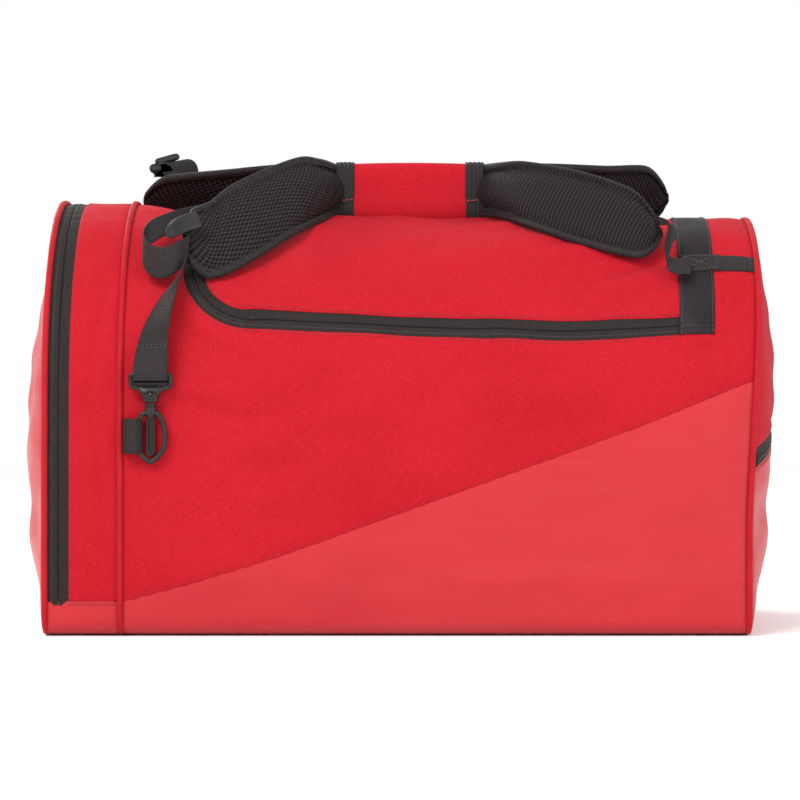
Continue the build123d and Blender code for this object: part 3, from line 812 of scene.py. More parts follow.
def smooth(points, count):
    """A smooth line through given points of any dimension, count points long."""
    points = np.asarray(points, float)
    chord = np.linalg.norm(np.diff(points[:, :3], axis=0), axis=1) ** 0.5
    knots = np.concatenate([[0], np.cumsum(chord)])
    slopes = np.gradient(points, knots, axis=0)
    t = np.linspace(0, knots[-1], count)
    k = np.clip(np.searchsorted(knots, t, side="right") - 1, 0, len(points) - 2)
    span = (knots[k + 1] - knots[k])[:, None]
    s = ((t - knots[k])[:, None]) / span
    return ((2 * s ** 3 - 3 * s ** 2 + 1) * points[k] + (s ** 3 - 2 * s ** 2 + s) * span * slopes[k]
            + (3 * s ** 2 - 2 * s ** 3) * points[k + 1] + (s ** 3 - s ** 2) * span * slopes[k + 1])


def rounded_strip(width, thickness):
    """Outline of a flat strap's section: (across, up), rounded at both edges."""
    half, t = width / 2, thickness / 2
    top = [(x, t) for x in np.linspace(-half + t, half - t, 9)]
    right = [(half - t + t * sin(a), t * cos(a)) for a in np.linspace(0, pi, 5)[1:-1]]
    return np.array(top + right + [(x, -y) for x, y in top[::-1]] + [(-x, -y) for x, y in right])


def strap(name, stations, thickness, material, count):
    """Free webbing through stations (x, y, z, across x, across y, across z, width)."""
    line = smooth(stations, count)
    centre, across, width = line[:, :3], unit(line[:, 3:6]), line[:, 6]
    face = unit(np.cross(unit(np.gradient(centre, axis=0)), across))
    rings = []
    for c, a, n, w in zip(centre, across, face, width):
        profile = rounded_strip(w, thickness)
        rings.append(c + profile[:, :1] * a + profile[:, 1:] * n)
    return loft(name, rings, material)


def refine(node, width):
    """A CAD piece with its sharp edges rounded, standing for the CAD node on the same body."""
    source = frame["nodes"][node]
    piece = add_object(f"{node}_moulded", source.data.copy())
    work = bmesh.new()
    work.from_mesh(piece.data)
    bmesh.ops.remove_doubles(work, verts=work.verts, dist=1e-6)
    bmesh.ops.dissolve_limit(work, angle_limit=radians(1), verts=work.verts, edges=work.edges)
    sharp = [e for e in work.edges if len(e.link_faces) == 2 and e.calc_face_angle(0) > radians(38)]
    bmesh.ops.bevel(work, geom=sharp, offset=width, segments=2, profile=0.6, affect="EDGES",
                    clamp_overlap=True)
    bmesh.ops.triangulate(work, faces=[f for f in work.faces if len(f.verts) > 4])
    work.to_mesh(piece.data)
    work.free()
    piece.data.shade_smooth()
    piece.data.set_sharp_from_angle(angle=radians(35))
    return piece


def settle(piece, body, slot, *nodes):
    """Says what a finished piece rides on and which CAD nodes it stands for; slot, the finish it has, is not
    used.
    """
    if nodes:
        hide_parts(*nodes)
    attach(piece, body)
    return piece


def settle_bent(piece, bodies, start, end, slot, *nodes):
    """For a piece set between two bodies: hides the CAD nodes it stands for and bakes its transform, without
    bending it; bodies and slot are not used.
    """
    if nodes:
        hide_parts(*nodes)
    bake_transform(piece)
    return piece


LID_BEND = (Vector((X_HINGE + 0.001, 0, LID_CREST)), Vector((X_HINGE - 0.07, 0, LID_CREST)))
FLAP_BEND = (Vector((X_END, 0, 0.010)), Vector((X_END, 0, 0.055)))


# ---------------------------------------------------------------- the main compartment


def girth_steps():
    return np.arange(0, GIRTH + GRID, GRID)


# Each cut is a signed distance: the sheet is kept where it is negative.


def body_cut(x, p):
    lid_cut = np.maximum(lid_distance(x, p) - TAPE, x - X_HINGE)
    ends = np.maximum(X_SHOE + SEAM_GAP - x, x - X_RIGHT + SEAM_GAP)
    return np.maximum(np.maximum(-lid_cut, -seam_distance(x, p)), ends)


def lower_cut(x, p):
    ends = np.maximum(X_SHOE + SEAM_GAP - x, x - X_RIGHT + SEAM_GAP)
    return np.maximum(seam_distance(x, p) - 2 * OVERLAP, ends)


def lid_cut(x, p):
    return np.maximum(lid_distance(x, p) + TAPE, x - X_HINGE - 0.004)


def make_main_panels():
    xs = np.arange(X_SHOE - GRID, X_RIGHT + GRID, GRID)
    body = patch("body_sheet", xs, girth_steps(), body_cut, surface, MATERIALS["woven_red"], WOVEN)
    settle(body, "bag", "woven_red",
           "front_upper_panel", "back_upper_panel", "left_top_panel", "right_top_panel")
    lows = np.arange(-0.42, 0.42, GRID)
    lower = patch("coated_sheet", xs, lows, lower_cut, surface, MATERIALS["coated_red"])
    settle(lower, "bag", "coated_red", "front_lower_panel", "back_lower_panel", "bottom_panel")
    lid = patch("lid_sheet", xs, girth_steps(), lid_cut, surface, MATERIALS["woven_red"], WOVEN)
    settle_bent(lid, ("bag", "lid"), *LID_BEND, "woven_red", "lid_panel")


def seam_path(side, rise_by):
    xs = np.linspace(X_SHOE + 0.004, X_RIGHT - 0.004, 160)
    p = front_p(xs, seam_line(xs)) + rise_by
    return np.stack([xs, p if side < 0 else GIRTH - p], 1)


def zip_path(offset, x_end=X_HINGE + 0.006):
    """The main zip's line from its front right end, round by the left, to its back right end."""
    front_x = np.arange(x_end, X_LID + LID_CORNER + 0.004, -0.004)
    half = GIRTH / 2
    front = [(x, front_p(x, zip_line(x)) + offset) for x in front_x]
    radius = LID_CORNER - offset
    foot = front_p(X_LID + LID_CORNER, zip_line(X_LID + LID_CORNER))
    corner_x, corner_p = X_LID + LID_CORNER - 0.001, foot + LID_CORNER
    turn = [(corner_x - radius * sin(a), corner_p - radius * cos(a)) for a in np.linspace(0.03, pi / 2, 26)]
    up = [(lid_left(half - p) + offset, p) for p in np.linspace(corner_p, half, 30)[1:]]
    near = front + turn + up
    return np.array(near + [(x, GIRTH - p) for x, p in near[-2::-1]])


def tape_profile(sign):
    """One half of a reverse-coil zip: a flat tape with the fold that hides the coil by the slit."""
    shape = ((0.00012, 0.0006), (0.0004, 0.0011), (0.0011, 0.0014), (0.0030, 0.0013), (0.0042, 0.0009),
             (0.0060, 0.0007), (TAPE + OVERLAP, -0.0002), (TAPE + OVERLAP, -0.0010), (0.00012, -0.0010))
    return [(sign * across, up) for across, up in shape]


def make_main_zip():
    line = zip_path(0.0)
    outer = sew("main_tape_outer", line, tape_profile(1), MATERIALS["zip_tape"])
    settle(outer, "bag", "zip_tape", "main_zip_body_tape")
    inner = sew("main_tape_inner", line, tape_profile(-1), MATERIALS["zip_tape"])
    settle_bent(inner, ("bag", "lid"), *LID_BEND, "zip_tape", "main_zip_lid_tape", "main_zip_end_tape")
    fixed = stitches("body_topstitch", [zip_path(-TAPE - HEM, X_HINGE)], WOVEN, RED_THREAD)
    settle(fixed, "bag", "woven_red")
    moving = stitches("lid_topstitch", [zip_path(TAPE + HEM, X_HINGE)], WOVEN, RED_THREAD)
    settle_bent(moving, ("bag", "lid"), *LID_BEND, "woven_red")


def make_seam_stitches():
    rows = [seam_path(side, 0.0030) for side in (-1, 1)]
    piece = stitches("slant_seam_topstitch", rows, CLOTH + 0.0003, RED_THREAD, radius=0.00036)
    settle(piece, "bag", "woven_red")


def welt_profile(radius, height, flange=0.0045):
    """A piping's round cord with the seam allowance that runs from it into the bag."""
    cord = [(radius * cos(a), height + radius * sin(a)) for a in np.linspace(radians(-75), radians(255), 14)]
    return cord + [(-0.0005, -flange), (0.0005, -flange)]


def piping_path(x):
    return np.stack([np.full(300, x), np.linspace(0, GIRTH, 300, endpoint=False)], 1)


def floor_sink(path):
    """Lets a piping sink into the bag where it lies on the floor."""
    height = outline(path[:, 0], path[:, 1])[1]
    return -0.0030 * (1 - np.clip(height / 0.012, 0, 1))


def make_piping():
    """Red piping round the three seams; the end one stands for the end piping and its foot."""
    red = MATERIALS["piping_red"]
    for name, x, node in (("shoe_welt", X_SHOE, "shoe_seam_piping"),
                          ("right_welt", X_RIGHT, "right_seam_piping")):
        path = piping_path(x)
        piece = sew(name, path, welt_profile(PIPING, 0.0020), red, closed=True, lift=floor_sink(path))
        settle(piece, "bag", "piping_red", node)
    path = piping_path(X_END)
    piece = sew("end_welt", path, welt_profile(PIPING, 0.0016), red, closed=True, lift=floor_sink(path))
    settle_bent(piece, ("bag", "flap"), *FLAP_BEND, "piping_red", "end_piping", "end_piping_foot")


# ---------------------------------------------------------------- the shoe compartment


def make_gusset():
    xs = np.arange(X_GUSSET - GRID, X_SHOE + GRID, 0.003)
    foot = front_p(X_GUSSET, BAND_TOP)

    def upper_cut(x, p):
        ends = np.maximum(X_GUSSET - x, x - X_SHOE + SEAM_GAP)
        return np.maximum(ends, foot - fold_p(p))

    piece = patch("gusset_sheet", xs, girth_steps(), upper_cut, surface, MATERIALS["woven_red"], WOVEN)
    settle(piece, "bag", "woven_red", "shoe_gusset")

    def band_cut(x, p):
        ends = np.maximum(X_END + 0.001 - x, x - X_SHOE + SEAM_GAP)
        return np.maximum(ends, fold_p(p) - foot + 0.0003)

    xs = np.arange(X_END - GRID, X_SHOE + GRID, 0.003)
    lows = np.arange(-foot - GRID, foot + GRID, GRID)
    band = patch("gusset_foot_band", xs, lows, band_cut, surface, MATERIALS["coated_red"])
    settle(band, "bag", "coated_red", "shoe_gusset_band")
    rows = [[(X_GUSSET + HEM, p) for p in np.linspace(foot, GIRTH - foot, 200)]]
    below = (foot - 0.003, GIRTH - foot + 0.003)
    rows += [[(x, p) for x in np.linspace(X_GUSSET, X_SHOE - 0.004, 12)] for p in below]
    settle(stitches("gusset_topstitch", rows, WOVEN, RED_THREAD), "bag", "woven_red")


def make_end_zip():
    foot = front_p(X_END_ZIP, BAND_TOP) - 0.004
    line = np.stack([np.full(260, X_END_ZIP), np.linspace(foot, GIRTH - foot, 260)], 1)
    body = sew("end_tape_body", line, tape_profile(-1), MATERIALS["zip_tape"])
    settle(body, "bag", "zip_tape", "end_zip_body_tape")
    flap = sew("end_tape_flap", line, tape_profile(1), MATERIALS["zip_tape"])
    settle_bent(flap, ("bag", "flap"), *FLAP_BEND, "zip_tape", "end_zip_flap_tape")


def rim_cut(side, margin=0.0005):
    def cut(y, z):
        ratio, reach = rim_ratio(y, z, side)
        return (ratio - 1) * reach + margin
    return cut


def make_ends():
    ys = np.arange(-DEPTH - GRID, DEPTH + 2 * GRID, GRID)
    zs = np.arange(-GRID, SHOE_CREST + 2 * GRID, GRID)
    piece = patch("end_sheet", ys, zs, rim_cut(-1), left_end, MATERIALS["coated_red"])
    settle_bent(piece, ("bag", "flap"), *FLAP_BEND, "coated_red", "end_panel", "end_panel_foot")
    rim = rim_cut(1)

    def upper(y, z):
        return np.maximum(rim(y, z), pocket_line(y) + TAPE - z)

    def lower(y, z):
        return np.maximum(rim(y, z), z - pocket_line(y) + TAPE)

    top = patch("pocket_upper_sheet", ys, zs, upper, right_end, MATERIALS["woven_red"], WOVEN)
    settle(top, "bag", "woven_red", "right_end_upper_panel")
    bottom = patch("pocket_lower_sheet", ys, zs, lower, right_end, MATERIALS["coated_red"])
    settle(bottom, "bag", "coated_red", "right_end_lower_panel")
    line = [(y, pocket_line(y)) for y in np.linspace(-DEPTH + 0.003, DEPTH - 0.003, 120)]
    for name, sign, node in (("pocket_tape_upper", 1, "pocket_zip_upper_tape"),
                             ("pocket_tape_lower", -1, "pocket_zip_lower_tape")):
        tape = sew(name, line, tape_profile(sign), MATERIALS["zip_tape"], right_end)
        settle(tape, "bag", "zip_tape", node)
    rows = [[(y, z + shift) for y, z in line] for shift in (TAPE + 0.0025, -TAPE - 0.0025)]
    settle(stitches("pocket_topstitch", rows, CLOTH + 0.0002, RED_THREAD, right_end), "bag", "woven_red")


# ---------------------------------------------------------------- strip and sewn webbing


def make_strip():
    """The grained strip over the lid's hinge, with dashes along its edges and across each end."""
    x = (X_HINGE + X_STRIP) / 2 - 0.0028
    half = 0.0150
    foot = front_p(x, ZIP_HEIGHT - 0.0075)
    line = np.stack([np.full(200, x), np.linspace(foot, GIRTH - foot, 200)], 1)
    edge = half - 0.0003
    profile = [(-edge, WOVEN), (-edge, WOVEN + 0.0008), (-edge + 0.0008, WOVEN + 0.0013), (0, WOVEN + 0.0014),
               (edge - 0.0008, WOVEN + 0.0013), (edge, WOVEN + 0.0008), (edge, WOVEN)]
    strip = sew("reinforcement_band", line, profile, MATERIALS["strip_black"])
    settle(strip, "bag", "strip_black", "reinforcement_strip")
    rows = [[(x + side * (half - HEM), p) for p in np.linspace(foot + 0.002, GIRTH - foot - 0.002, 300)]
            for side in (-1, 1)]
    for end in (foot + 0.0075, GIRTH - foot - 0.0075):
        rows.append([(u, end) for u in np.linspace(x - half + 0.003, x + half - 0.003, 12)])
    settle(stitches("strip_stitches", rows, WOVEN + 0.0015, BLACK_THREAD), "bag", "webbing")


def make_anchors():
    """The webbing that is box-stitched to the strip and runs into the right seam, front and back."""
    for name, side in SIDES:
        node = f"{name}_anchor_webbing"
        centre = front_p(X_STRIP, middle(node).z)
        start = low(node).x - 0.001
        xs = np.linspace(start, X_RIGHT - 0.002, 40)
        p = np.full(40, centre if side < 0 else GIRTH - centre)
        lift = CLOTH + 0.0009 + 0.0013 * np.clip((X_STRIP + 0.004 - xs) / 0.005, 0, 1)
        tape = sew(f"{name}_anchor_tape", np.stack([xs, p], 1), rounded_strip(0.0185, 0.0016),
                   MATERIALS["webbing"], lift=lift)
        settle(tape, "bag", "webbing", node)
        left, right, half = X_HINGE + 0.003, X_STRIP - 0.002, 0.0070
        corners = [(left, -half), (right, -half), (right, half), (left, half), (left, -half)]
        cross = [[(left, -half), (right, half)], [(left, half), (right, -half)]]
        seams = [[here, there] for here, there in zip(corners, corners[1:])] + cross
        seams.append([(X_RIGHT - 0.006, -half), (X_RIGHT - 0.006, half)])
        rows = [[(x, p[0] + q) for x, q in seam] for seam in seams]
        settle(stitches(f"{name}_anchor_stitches", rows, CLOTH + 0.0033, BLACK_THREAD), "bag", "webbing")


# ---------------------------------------------------------------- handle


PAD_CROWN = 0.0062          # how far a pad's field rises on its outer face
PAD_BACK = 0.0030           # and on the face that lies on the bag
PAD_ROLL = 0.0036           # height of the soft roll along both edges
PAD_ROLL_WIDTH = 0.0075
PAD_EDGE = 0.0006           # half the thickness of the sewn edge


def pad_rings(stations, round_start, round_end, count=190):
    """Rings of a padded strap: a crowned field inside a seam, with a soft roll along both edges."""
    line = smooth(stations, count)
    length = travelled(line[:, :3])
    ahead = unit(np.gradient(line[:, :3], axis=0))
    t = np.linspace(-1, 1, 44)
    rings = []
    for k, (x, y, z, tilt, width) in enumerate(line):
        from_start = np.clip(length[k] / round_start, 0.02, 1)
        from_end = np.clip((length[-1] - length[k]) / round_end, 0.02, 1)
        taper = (1 - (1 - from_start) ** 2) ** 0.5 * (1 - (1 - from_end) ** 2) ** 0.5
        half = width / 2 * taper
        wide = np.array([0, sin(radians(tilt)), cos(radians(tilt))])
        face = np.cross(ahead[k], wide)
        face /= np.linalg.norm(face)
        if face[1] * np.sign(-tilt if tilt else -1) < 0:
            face = -face
        roll = PAD_ROLL_WIDTH / max(half, PAD_ROLL_WIDTH)
        inside = np.clip((1 - np.abs(t)) / roll, 0, 1)
        edge_roll = np.sin(inside * pi) ** 0.5 * PAD_ROLL
        field = np.clip((1 - np.abs(t) - roll) / max(1 - roll, 1e-9), 0, 1)
        crown = (1 - (1 - field) ** 2.6) * taper
        outer = np.maximum(edge_roll, PAD_EDGE) + crown * PAD_CROWN
        inner = np.maximum(edge_roll, PAD_EDGE) * 0.8 + crown * PAD_BACK
        centre = np.array([x, y, z])
        front = [centre + wide * half * a + face * h for a, h in zip(t, outer)]
        back = [centre + wide * half * a - face * h for a, h in zip(t[::-1], inner)]
        rings.append(front + back)
    return np.array(rings)


def rib_field(rings, slope, pitch, depth):
    """Raises slanting knitted ribs out of a pad's field."""
    around = rings.shape[1]
    centres = rings.mean(axis=1, keepdims=True)
    along = travelled(centres[:, 0])[:, None]
    reach = np.linalg.norm(rings[:, [0]] - rings[:, [around // 2 - 1]], axis=2)
    t = np.concatenate([np.linspace(-1, 1, around // 2), np.linspace(1, -1, around // 2)])[None, :]
    across = t * reach / 2
    outward = unit(rings - centres)
    wave = np.sin(2 * pi * (along + slope * across) / pitch)
    fade = np.clip((1 - np.abs(t)) * reach / 0.03, 0, 1)
    return rings + outward * (wave * depth * fade)[:, :, None]


def stations_in_metres(rows):
    """Pad stations written in millimetres from the wrap's left edge, turned into the frame's metres."""
    origin = low("left_wrap_binding").x
    return [(origin + x / 1000, y / 1000, z / 1000, tilt, width / 1000) for x, y, z, tilt, width in rows]


FRONT_LEFT = stations_in_metres((
    (-130, -125, 345, 31, 34), (-125, -124, 343, 31, 52), (-118, -122, 341, 31, 66),
    (-108, -119, 340, 31, 79), (-94, -113, 347, 32, 92), (-72, -102, 359, 34, 96),
    (-34, -73, 380.5, 36, 88), (-16, -48, 386.5, 24, 66), (4, -9, 390.2, 6, 45), (12, -7, 390.2, 0, 42),
))
FRONT_RIGHT = stations_in_metres((
    (122, -7, 390.2, 0, 42), (130, -9, 390.2, 6, 45), (152, -40.5, 387.5, 22, 56), (173, -62, 382.5, 35, 74),
    (218, -86, 369, 33, 80), (258, -102, 356, 34, 76), (276, -107, 349.5, 34, 64), (287, -109, 346.5, 34, 50),
))
BACK_LEFT = stations_in_metres((
    (-182, 74, 387, -48, 40), (-166, 74, 386.5, -48, 58), (-92, 58, 387, -42, 70), (-42, 46, 388, -28, 66),
    (2, 9, 390.2, -6, 45), (12, 7, 390.2, 0, 42),
))
BACK_RIGHT = stations_in_metres((
    (122, 7, 390.2, 0, 42), (132, 10, 390.2, -6, 45), (183, 52, 388.5, -26, 66), (248, 84, 388, -34, 72),
    (292, 100, 392, -36, 66), (312, 102, 391, -36, 46),
))


def inflate(piece, pressure, cap):
    """Lets the pad's cloth settle under pressure, moving no point further than cap."""
    start = points_of(piece)
    cloth = piece.modifiers.new("cloth", "CLOTH")
    cloth.settings.quality = 4
    cloth.settings.mass = 0.3
    cloth.settings.tension_stiffness = 40
    cloth.settings.compression_stiffness = 40
    cloth.settings.bending_stiffness = 4
    cloth.settings.use_pressure = True
    cloth.settings.uniform_pressure_force = pressure
    cloth.settings.effector_weights.gravity = 0
    cloth.collision_settings.use_collision = False
    for step in range(1, 13):
        bpy.context.scene.frame_set(step)
    end = points_of(piece.evaluated_get(bpy.context.evaluated_depsgraph_get()))
    piece.modifiers.remove(cloth)
    bpy.context.scene.frame_set(1)
    move = (end - start).reshape(-1, 3)
    size = np.linalg.norm(move, axis=1, keepdims=True)
    move *= np.minimum(1, cap / np.maximum(size, 1e-9))
    piece.data.vertices.foreach_set("co", start + move.ravel())
    piece.data.update()


def bind_edges(name, piece, shape, wrap):
    """The smooth band that wraps a pad's two long edges, laid just outside the pad's own surface."""
    count, around, _ = shape
    rings = points_of(piece).reshape(-1, 3)[:count * around].reshape(shape)
    centres = rings.mean(axis=1, keepdims=True)
    away = rings - centres
    away /= np.maximum(np.linalg.norm(away, axis=2, keepdims=True), 1e-6)
    for edge, turn in (("low", 0), ("high", around // 2)):
        order = [(turn + k) % around for k in range(-wrap, wrap)]
        skin = rings[:, order] + away[:, order] * 0.0009
        inside = rings[:, order[::-1]] - away[:, order[::-1]] * 0.0009
        band = np.concatenate([skin, inside], axis=1)
        settle(loft(f"{name}_{edge}_binding", band, MATERIALS["webbing"], crease=80), "handle", "webbing")


def make_pads():
    mesh = MATERIALS["air_mesh"]
    specs = (
        ("front_left_pad", FRONT_LEFT, 0.008, 0.004, -0.55, "front_pad", 1.0, 5),
        ("front_right_pad", FRONT_RIGHT, 0.004, 0.030, 0.55, "front_pad", 1.45, 3),
        ("back_left_pad", BACK_LEFT, 0.026, 0.004, -0.55, "back_pad", 1.0, 4),
        ("back_right_pad", BACK_RIGHT, 0.004, 0.026, 0.55, "back_pad", 1.45, 3),
    )
    for name, stations, start, end, slope, node, fineness, wrap in specs:
        rings = pad_rings(stations, start, end)
        piece = loft(name, rib_field(rings, slope, 2 * MESH_PITCH, 0.0003), mesh, crease=80)
        inflate(piece, 1.5, 0.003)
        bind_edges(name, piece, rings.shape, wrap)
        weave = piece.data.attributes["wv"].data
        places = np.zeros(len(weave) * 3)
        weave.foreach_get("vector", places)
        weave.foreach_set("vector", places * fineness)
        settle(piece, "handle", "air_mesh", node)


WRAP_POINTS = 72


def wrap_ring(x, stand, dimple):
    """The hand wrap's section at x: a rounded upright box, pulled in where dimple is positive."""
    box_low, box_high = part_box("hand_wrap")
    half_y = (box_high.y - box_low.y) / 2 + stand
    half_z = (box_high.z - box_low.z) / 2 + stand + SAG
    centre_z = (box_high.z + box_low.z) / 2 - SAG
    angles = full_turn(WRAP_POINTS)
    power = 2 / 4.2
    y = half_y * squared(np.cos(angles), power)
    z = half_z * squared(np.sin(angles), power)
    pull = 1 - dimple * np.exp(-((z / half_z - 0.1) / 0.55) ** 2)
    return np.stack([np.full(WRAP_POINTS, x), y * pull, centre_z + z], 1)


def make_wrap():
    left, right = low("hand_wrap").x, high("hand_wrap").x
    length = right - left
    rings = []
    for x in np.linspace(left - 0.001, right + 0.001, 90):
        share = (x - left) / length
        dimple = 0.10 * np.exp(-((share - 0.60) / 0.055) ** 2) + 0.07 * np.exp(-((share - 0.76) / 0.05) ** 2)
        dimple += 0.03 * np.exp(-((share - 0.25) / 0.12) ** 2)
        ring = wrap_ring(x, 0.0008 * sin(pi * share), dimple)
        lap = (ring[:, 1] < 0) & (ring[:, 2] < middle("hand_wrap").z - 0.0085)
        ring[lap, 1] -= 0.0010
        rings.append(ring)
    piece = loft("grip_wrap", rings, MATERIALS["woven_red"], crease=60)
    settle(piece, "handle", "woven_red", "hand_wrap")
    for name, node in (("left_grip_binding", "left_wrap_binding"),
                       ("right_grip_binding", "right_wrap_binding")):
        x0, x1 = low(node).x, high(node).x
        ribs = [(x, 0.0014 + 0.0004 * sin(9 * pi * (x - x0) / (x1 - x0)))
                for x in np.linspace(x0 + 0.002, x1 - 0.002, 14)]
        profile = [(x0, 0.0004), (x0 + 0.0008, 0.0014)] + ribs + [(x1 - 0.0008, 0.0014), (x1, 0.0004)]
        rings = [wrap_ring(x, stand, 0) for x, stand in profile]
        band = loft(name, rings, MATERIALS["webbing"], crease=60)
        settle(band, "handle", "webbing", node)
        front = -(high("hand_wrap").y + 0.0021)
        z = middle("hand_wrap").z - 0.0095

        def on_wrap(u, v, up):
            u, v, up = level(u, v, up)
            return np.stack([u, front - up, v], -1)

        row = [[(x0 + 0.001, z - 0.0005), ((x0 + x1) / 2, z), (x1 - 0.001, z + 0.0012)]]
        settle(stitches(f"{name}_stitches", row, 0.0, BRIGHT_THREAD, on_wrap), "handle", "webbing")


# ---------------------------------------------------------------- free webbing and hardware


def make_tails():
    """Each tail: twice round the dee's bar, then twisting up the shoulder to go in under the pad."""
    for name, side in SIDES:
        dee = f"{name}_hook_dee"
        x, y, z = middle(dee).x, middle(dee).y, high(dee).z

        def at(dx, stand, height, turn, width):
            turned = radians(turn)
            return (x + dx, y + side * stand, height, cos(turned), side * sin(turned), 0.0, width)

        rows = [
            at(0.0, 0.0040, z - 0.008, 0, 0.0295), at(0.0, 0.0048, z - 0.001, 0, 0.0295),
            at(0.0005, 0.0036, z + 0.008, 8, 0.0295), at(0.0015, 0.0010, z + 0.022, 24, 0.0290),
            at(0.0055, -0.003, z + 0.041, 40, 0.0285), at(0.0135, -0.011, z + 0.063, 60, 0.028),
            at(0.0215, -0.024, z + 0.080, 80, 0.027), at(0.0275, -0.040, z + 0.098, 88, 0.026),
        ]
        front = strap(f"{name}_tail_strap", rows, STRAP_THICKNESS, MATERIALS["webbing"], 60)
        settle(front, "bag", "webbing", f"{name}_tail_webbing")
        loop = [
            at(0.0, 0.0042, z - 0.010, 0, 0.0295), at(0.0, 0.0020, z - 0.0125, 0, 0.0295),
            at(0.0, -0.0020, z - 0.0125, 0, 0.0295), at(0.0, -0.0044, z - 0.008, 0, 0.0295),
            at(0.0, -0.0030, z + 0.002, 2, 0.028), at(0.001, -0.0016, z + 0.010, 10, 0.026),
        ]
        back = strap(f"{name}_dee_loop", loop, LOOP_THICKNESS, MATERIALS["webbing"], 40)
        settle(back, "bag", "webbing")
        lean = radians(22)

        def on_tail(u, v, up):
            u, v, up = level(u, v, up)
            return np.stack([x + u, y + side * (0.0018 + u * sin(lean) / cos(lean) + up), v], -1)

        rows = [[(-0.0125, z + 0.0195 + shift), (0.0145, z + 0.0205 + shift)] for shift in (0.0, 0.0022)]
        settle(stitches(f"{name}_tail_stitches", rows, 0.0, BLACK_THREAD, on_tail), "bag", "webbing")


def make_tabs():
    """The webbing loop from the shoe seam round the hook's left arm."""
    for name, side in SIDES:
        node = f"{name}_hook_tab"
        lower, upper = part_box(node)
        z = (lower.z + upper.z) / 2
        near = (lower.y if side > 0 else upper.y)
        far = (upper.y if side > 0 else lower.y)
        left, fold = lower.x, upper.x
        near_arm = far - side * 0.0125
        width = upper.z - lower.z
        rows = [
            (left + 0.0008, near + side * 0.0008, z), (left + 0.004, near + side * 0.0030, z),
            (left + 0.012, near_arm, z), (fold - 0.0052, near_arm + side * 0.0004, z),
            (fold - 0.0010, (near_arm + far) / 2, z), (fold - 0.0052, far - side * 0.0012, z),
            (left + 0.012, far - side * 0.0010, z), (left + 0.004, far - side * 0.0045, z),
            (left + 0.0008, near + side * 0.0030, z),
        ]
        stations = [(a, b, c, 0, 0, 1, width) for a, b, c in rows]
        loop = strap(f"{name}_hook_loop", stations, LOOP_THICKNESS, MATERIALS["webbing"], 60)
        settle(loop, "bag", "webbing", node)


def make_loose_loop():
    """The spare end of the front strap: it comes out of the ladder-lock, turns round and hangs."""
    lock = middle("front_ladder_lock")

    def at(dx, dy, dz, across, width):
        return (lock.x + dx / 1000, lock.y + dy / 1000, lock.z + dz / 1000, *across, width / 1000)

    leaning, upright = (0.10, 0.50, 0.86), (0.02, 0.05, 1.0)
    rows = [
        at(30, 44, 12, leaning, 22), at(12, 28, 7, leaning, 24), at(-6, 12, 0, leaning, 25),
        at(-19, 2, -9, (0.02, 0.40, 0.92), 26), at(-22.5, -6, -20, (0.0, 0.15, 0.99), 27),
        at(-18, -13, -29, upright, 27), at(-11, -17, -33.5, upright, 27), at(-1.6, -19, -33.5, upright, 27),
        at(7, -17, -29, (0.05, 0.1, 1.0), 27), at(16, -9, -22, (0.10, 0.3, 0.95), 25),
    ]
    piece = strap("front_spare_loop", rows, LOOP_THICKNESS, MATERIALS["webbing"], 80)
    settle(piece, "handle", "webbing", "front_loose_webbing", "front_lock_webbing")
    tilted = (-0.35, 0.1, 0.93)
    stub = [
        at(-2.5, -12, -9.5, tilted, 7), at(0, -12.5, -8, tilted, 11), at(4, -12.5, -5, tilted, 14),
        at(13, -10, 0, tilted, 15), at(25, -5, 4, tilted, 15),
    ]
    piece = strap("front_lock_plate", stub, 0.0026, MATERIALS["moulded_black"], 40)
    settle(piece, "handle", "moulded_black", "front_ladder_lock")
    back = middle("back_lock_webbing")
    bends = ((-0.012, 0.0, -0.003), (0.0, 0.0, -0.002), (0.010, 0.002, -0.006), (0.014, 0.004, -0.012))
    rows = [(back.x + dx, back.y + dy, back.z + dz, 0.2, 0.95, -0.25, 0.030) for dx, dy, dz in bends]
    settle(strap("back_strap_end", rows, STRAP_THICKNESS, MATERIALS["webbing"], 24), "handle", "webbing",
           "back_lock_webbing")


def make_curls():
    """The bare webbing from each pad's right end, curling down and forward onto the anchor's stitching."""
    for name, side in SIDES:
        lower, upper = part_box(f"{name}_webbing_curl")
        anchor = middle(f"{name}_anchor_webbing")
        x, z = X_HINGE, anchor.z
        far = max(abs(lower.y), abs(upper.y))
        foot = x + 0.012

        def at(dx, y, height, across, width):
            return (x + dx, side * y, height, across[0], side * across[1], across[2], width)

        flat = (0.0, 0.62, -0.78)
        rows = [
            at(-0.022, far - 0.036, z + 0.041, (0.5, 0.6, -0.6), 0.015),
            at(-0.009, far - 0.027, z + 0.041, (0.6, 0.6, -0.5), 0.017),
            at(-0.0015, far - 0.015, z + 0.035, (0.4, 0.75, -0.5), 0.018),
            at(-0.0050, far - 0.007, z + 0.022, (0.15, 0.85, -0.5), 0.018),
            at(-0.0075, far - 0.002, z + 0.012, (0.10, 0.80, -0.6), 0.018),
            at(-0.0070, far + 0.0035, z + 0.003, (0.0, 0.66, -0.75), 0.018),
            at(0.0000, far + 0.0035, z, flat, 0.0183),
            at(0.0120, far + 0.0022, z, flat, 0.0185),
        ]
        piece = strap(f"{name}_strap_curl", rows, STRAP_THICKNESS, MATERIALS["webbing"], 50)
        start = Vector((foot, side * far, z))
        end = Vector((x - 0.004, side * (far - 0.018), z + 0.040))
        settle_bent(piece, ("bag", "lid"), start, end, "webbing", f"{name}_webbing_curl")


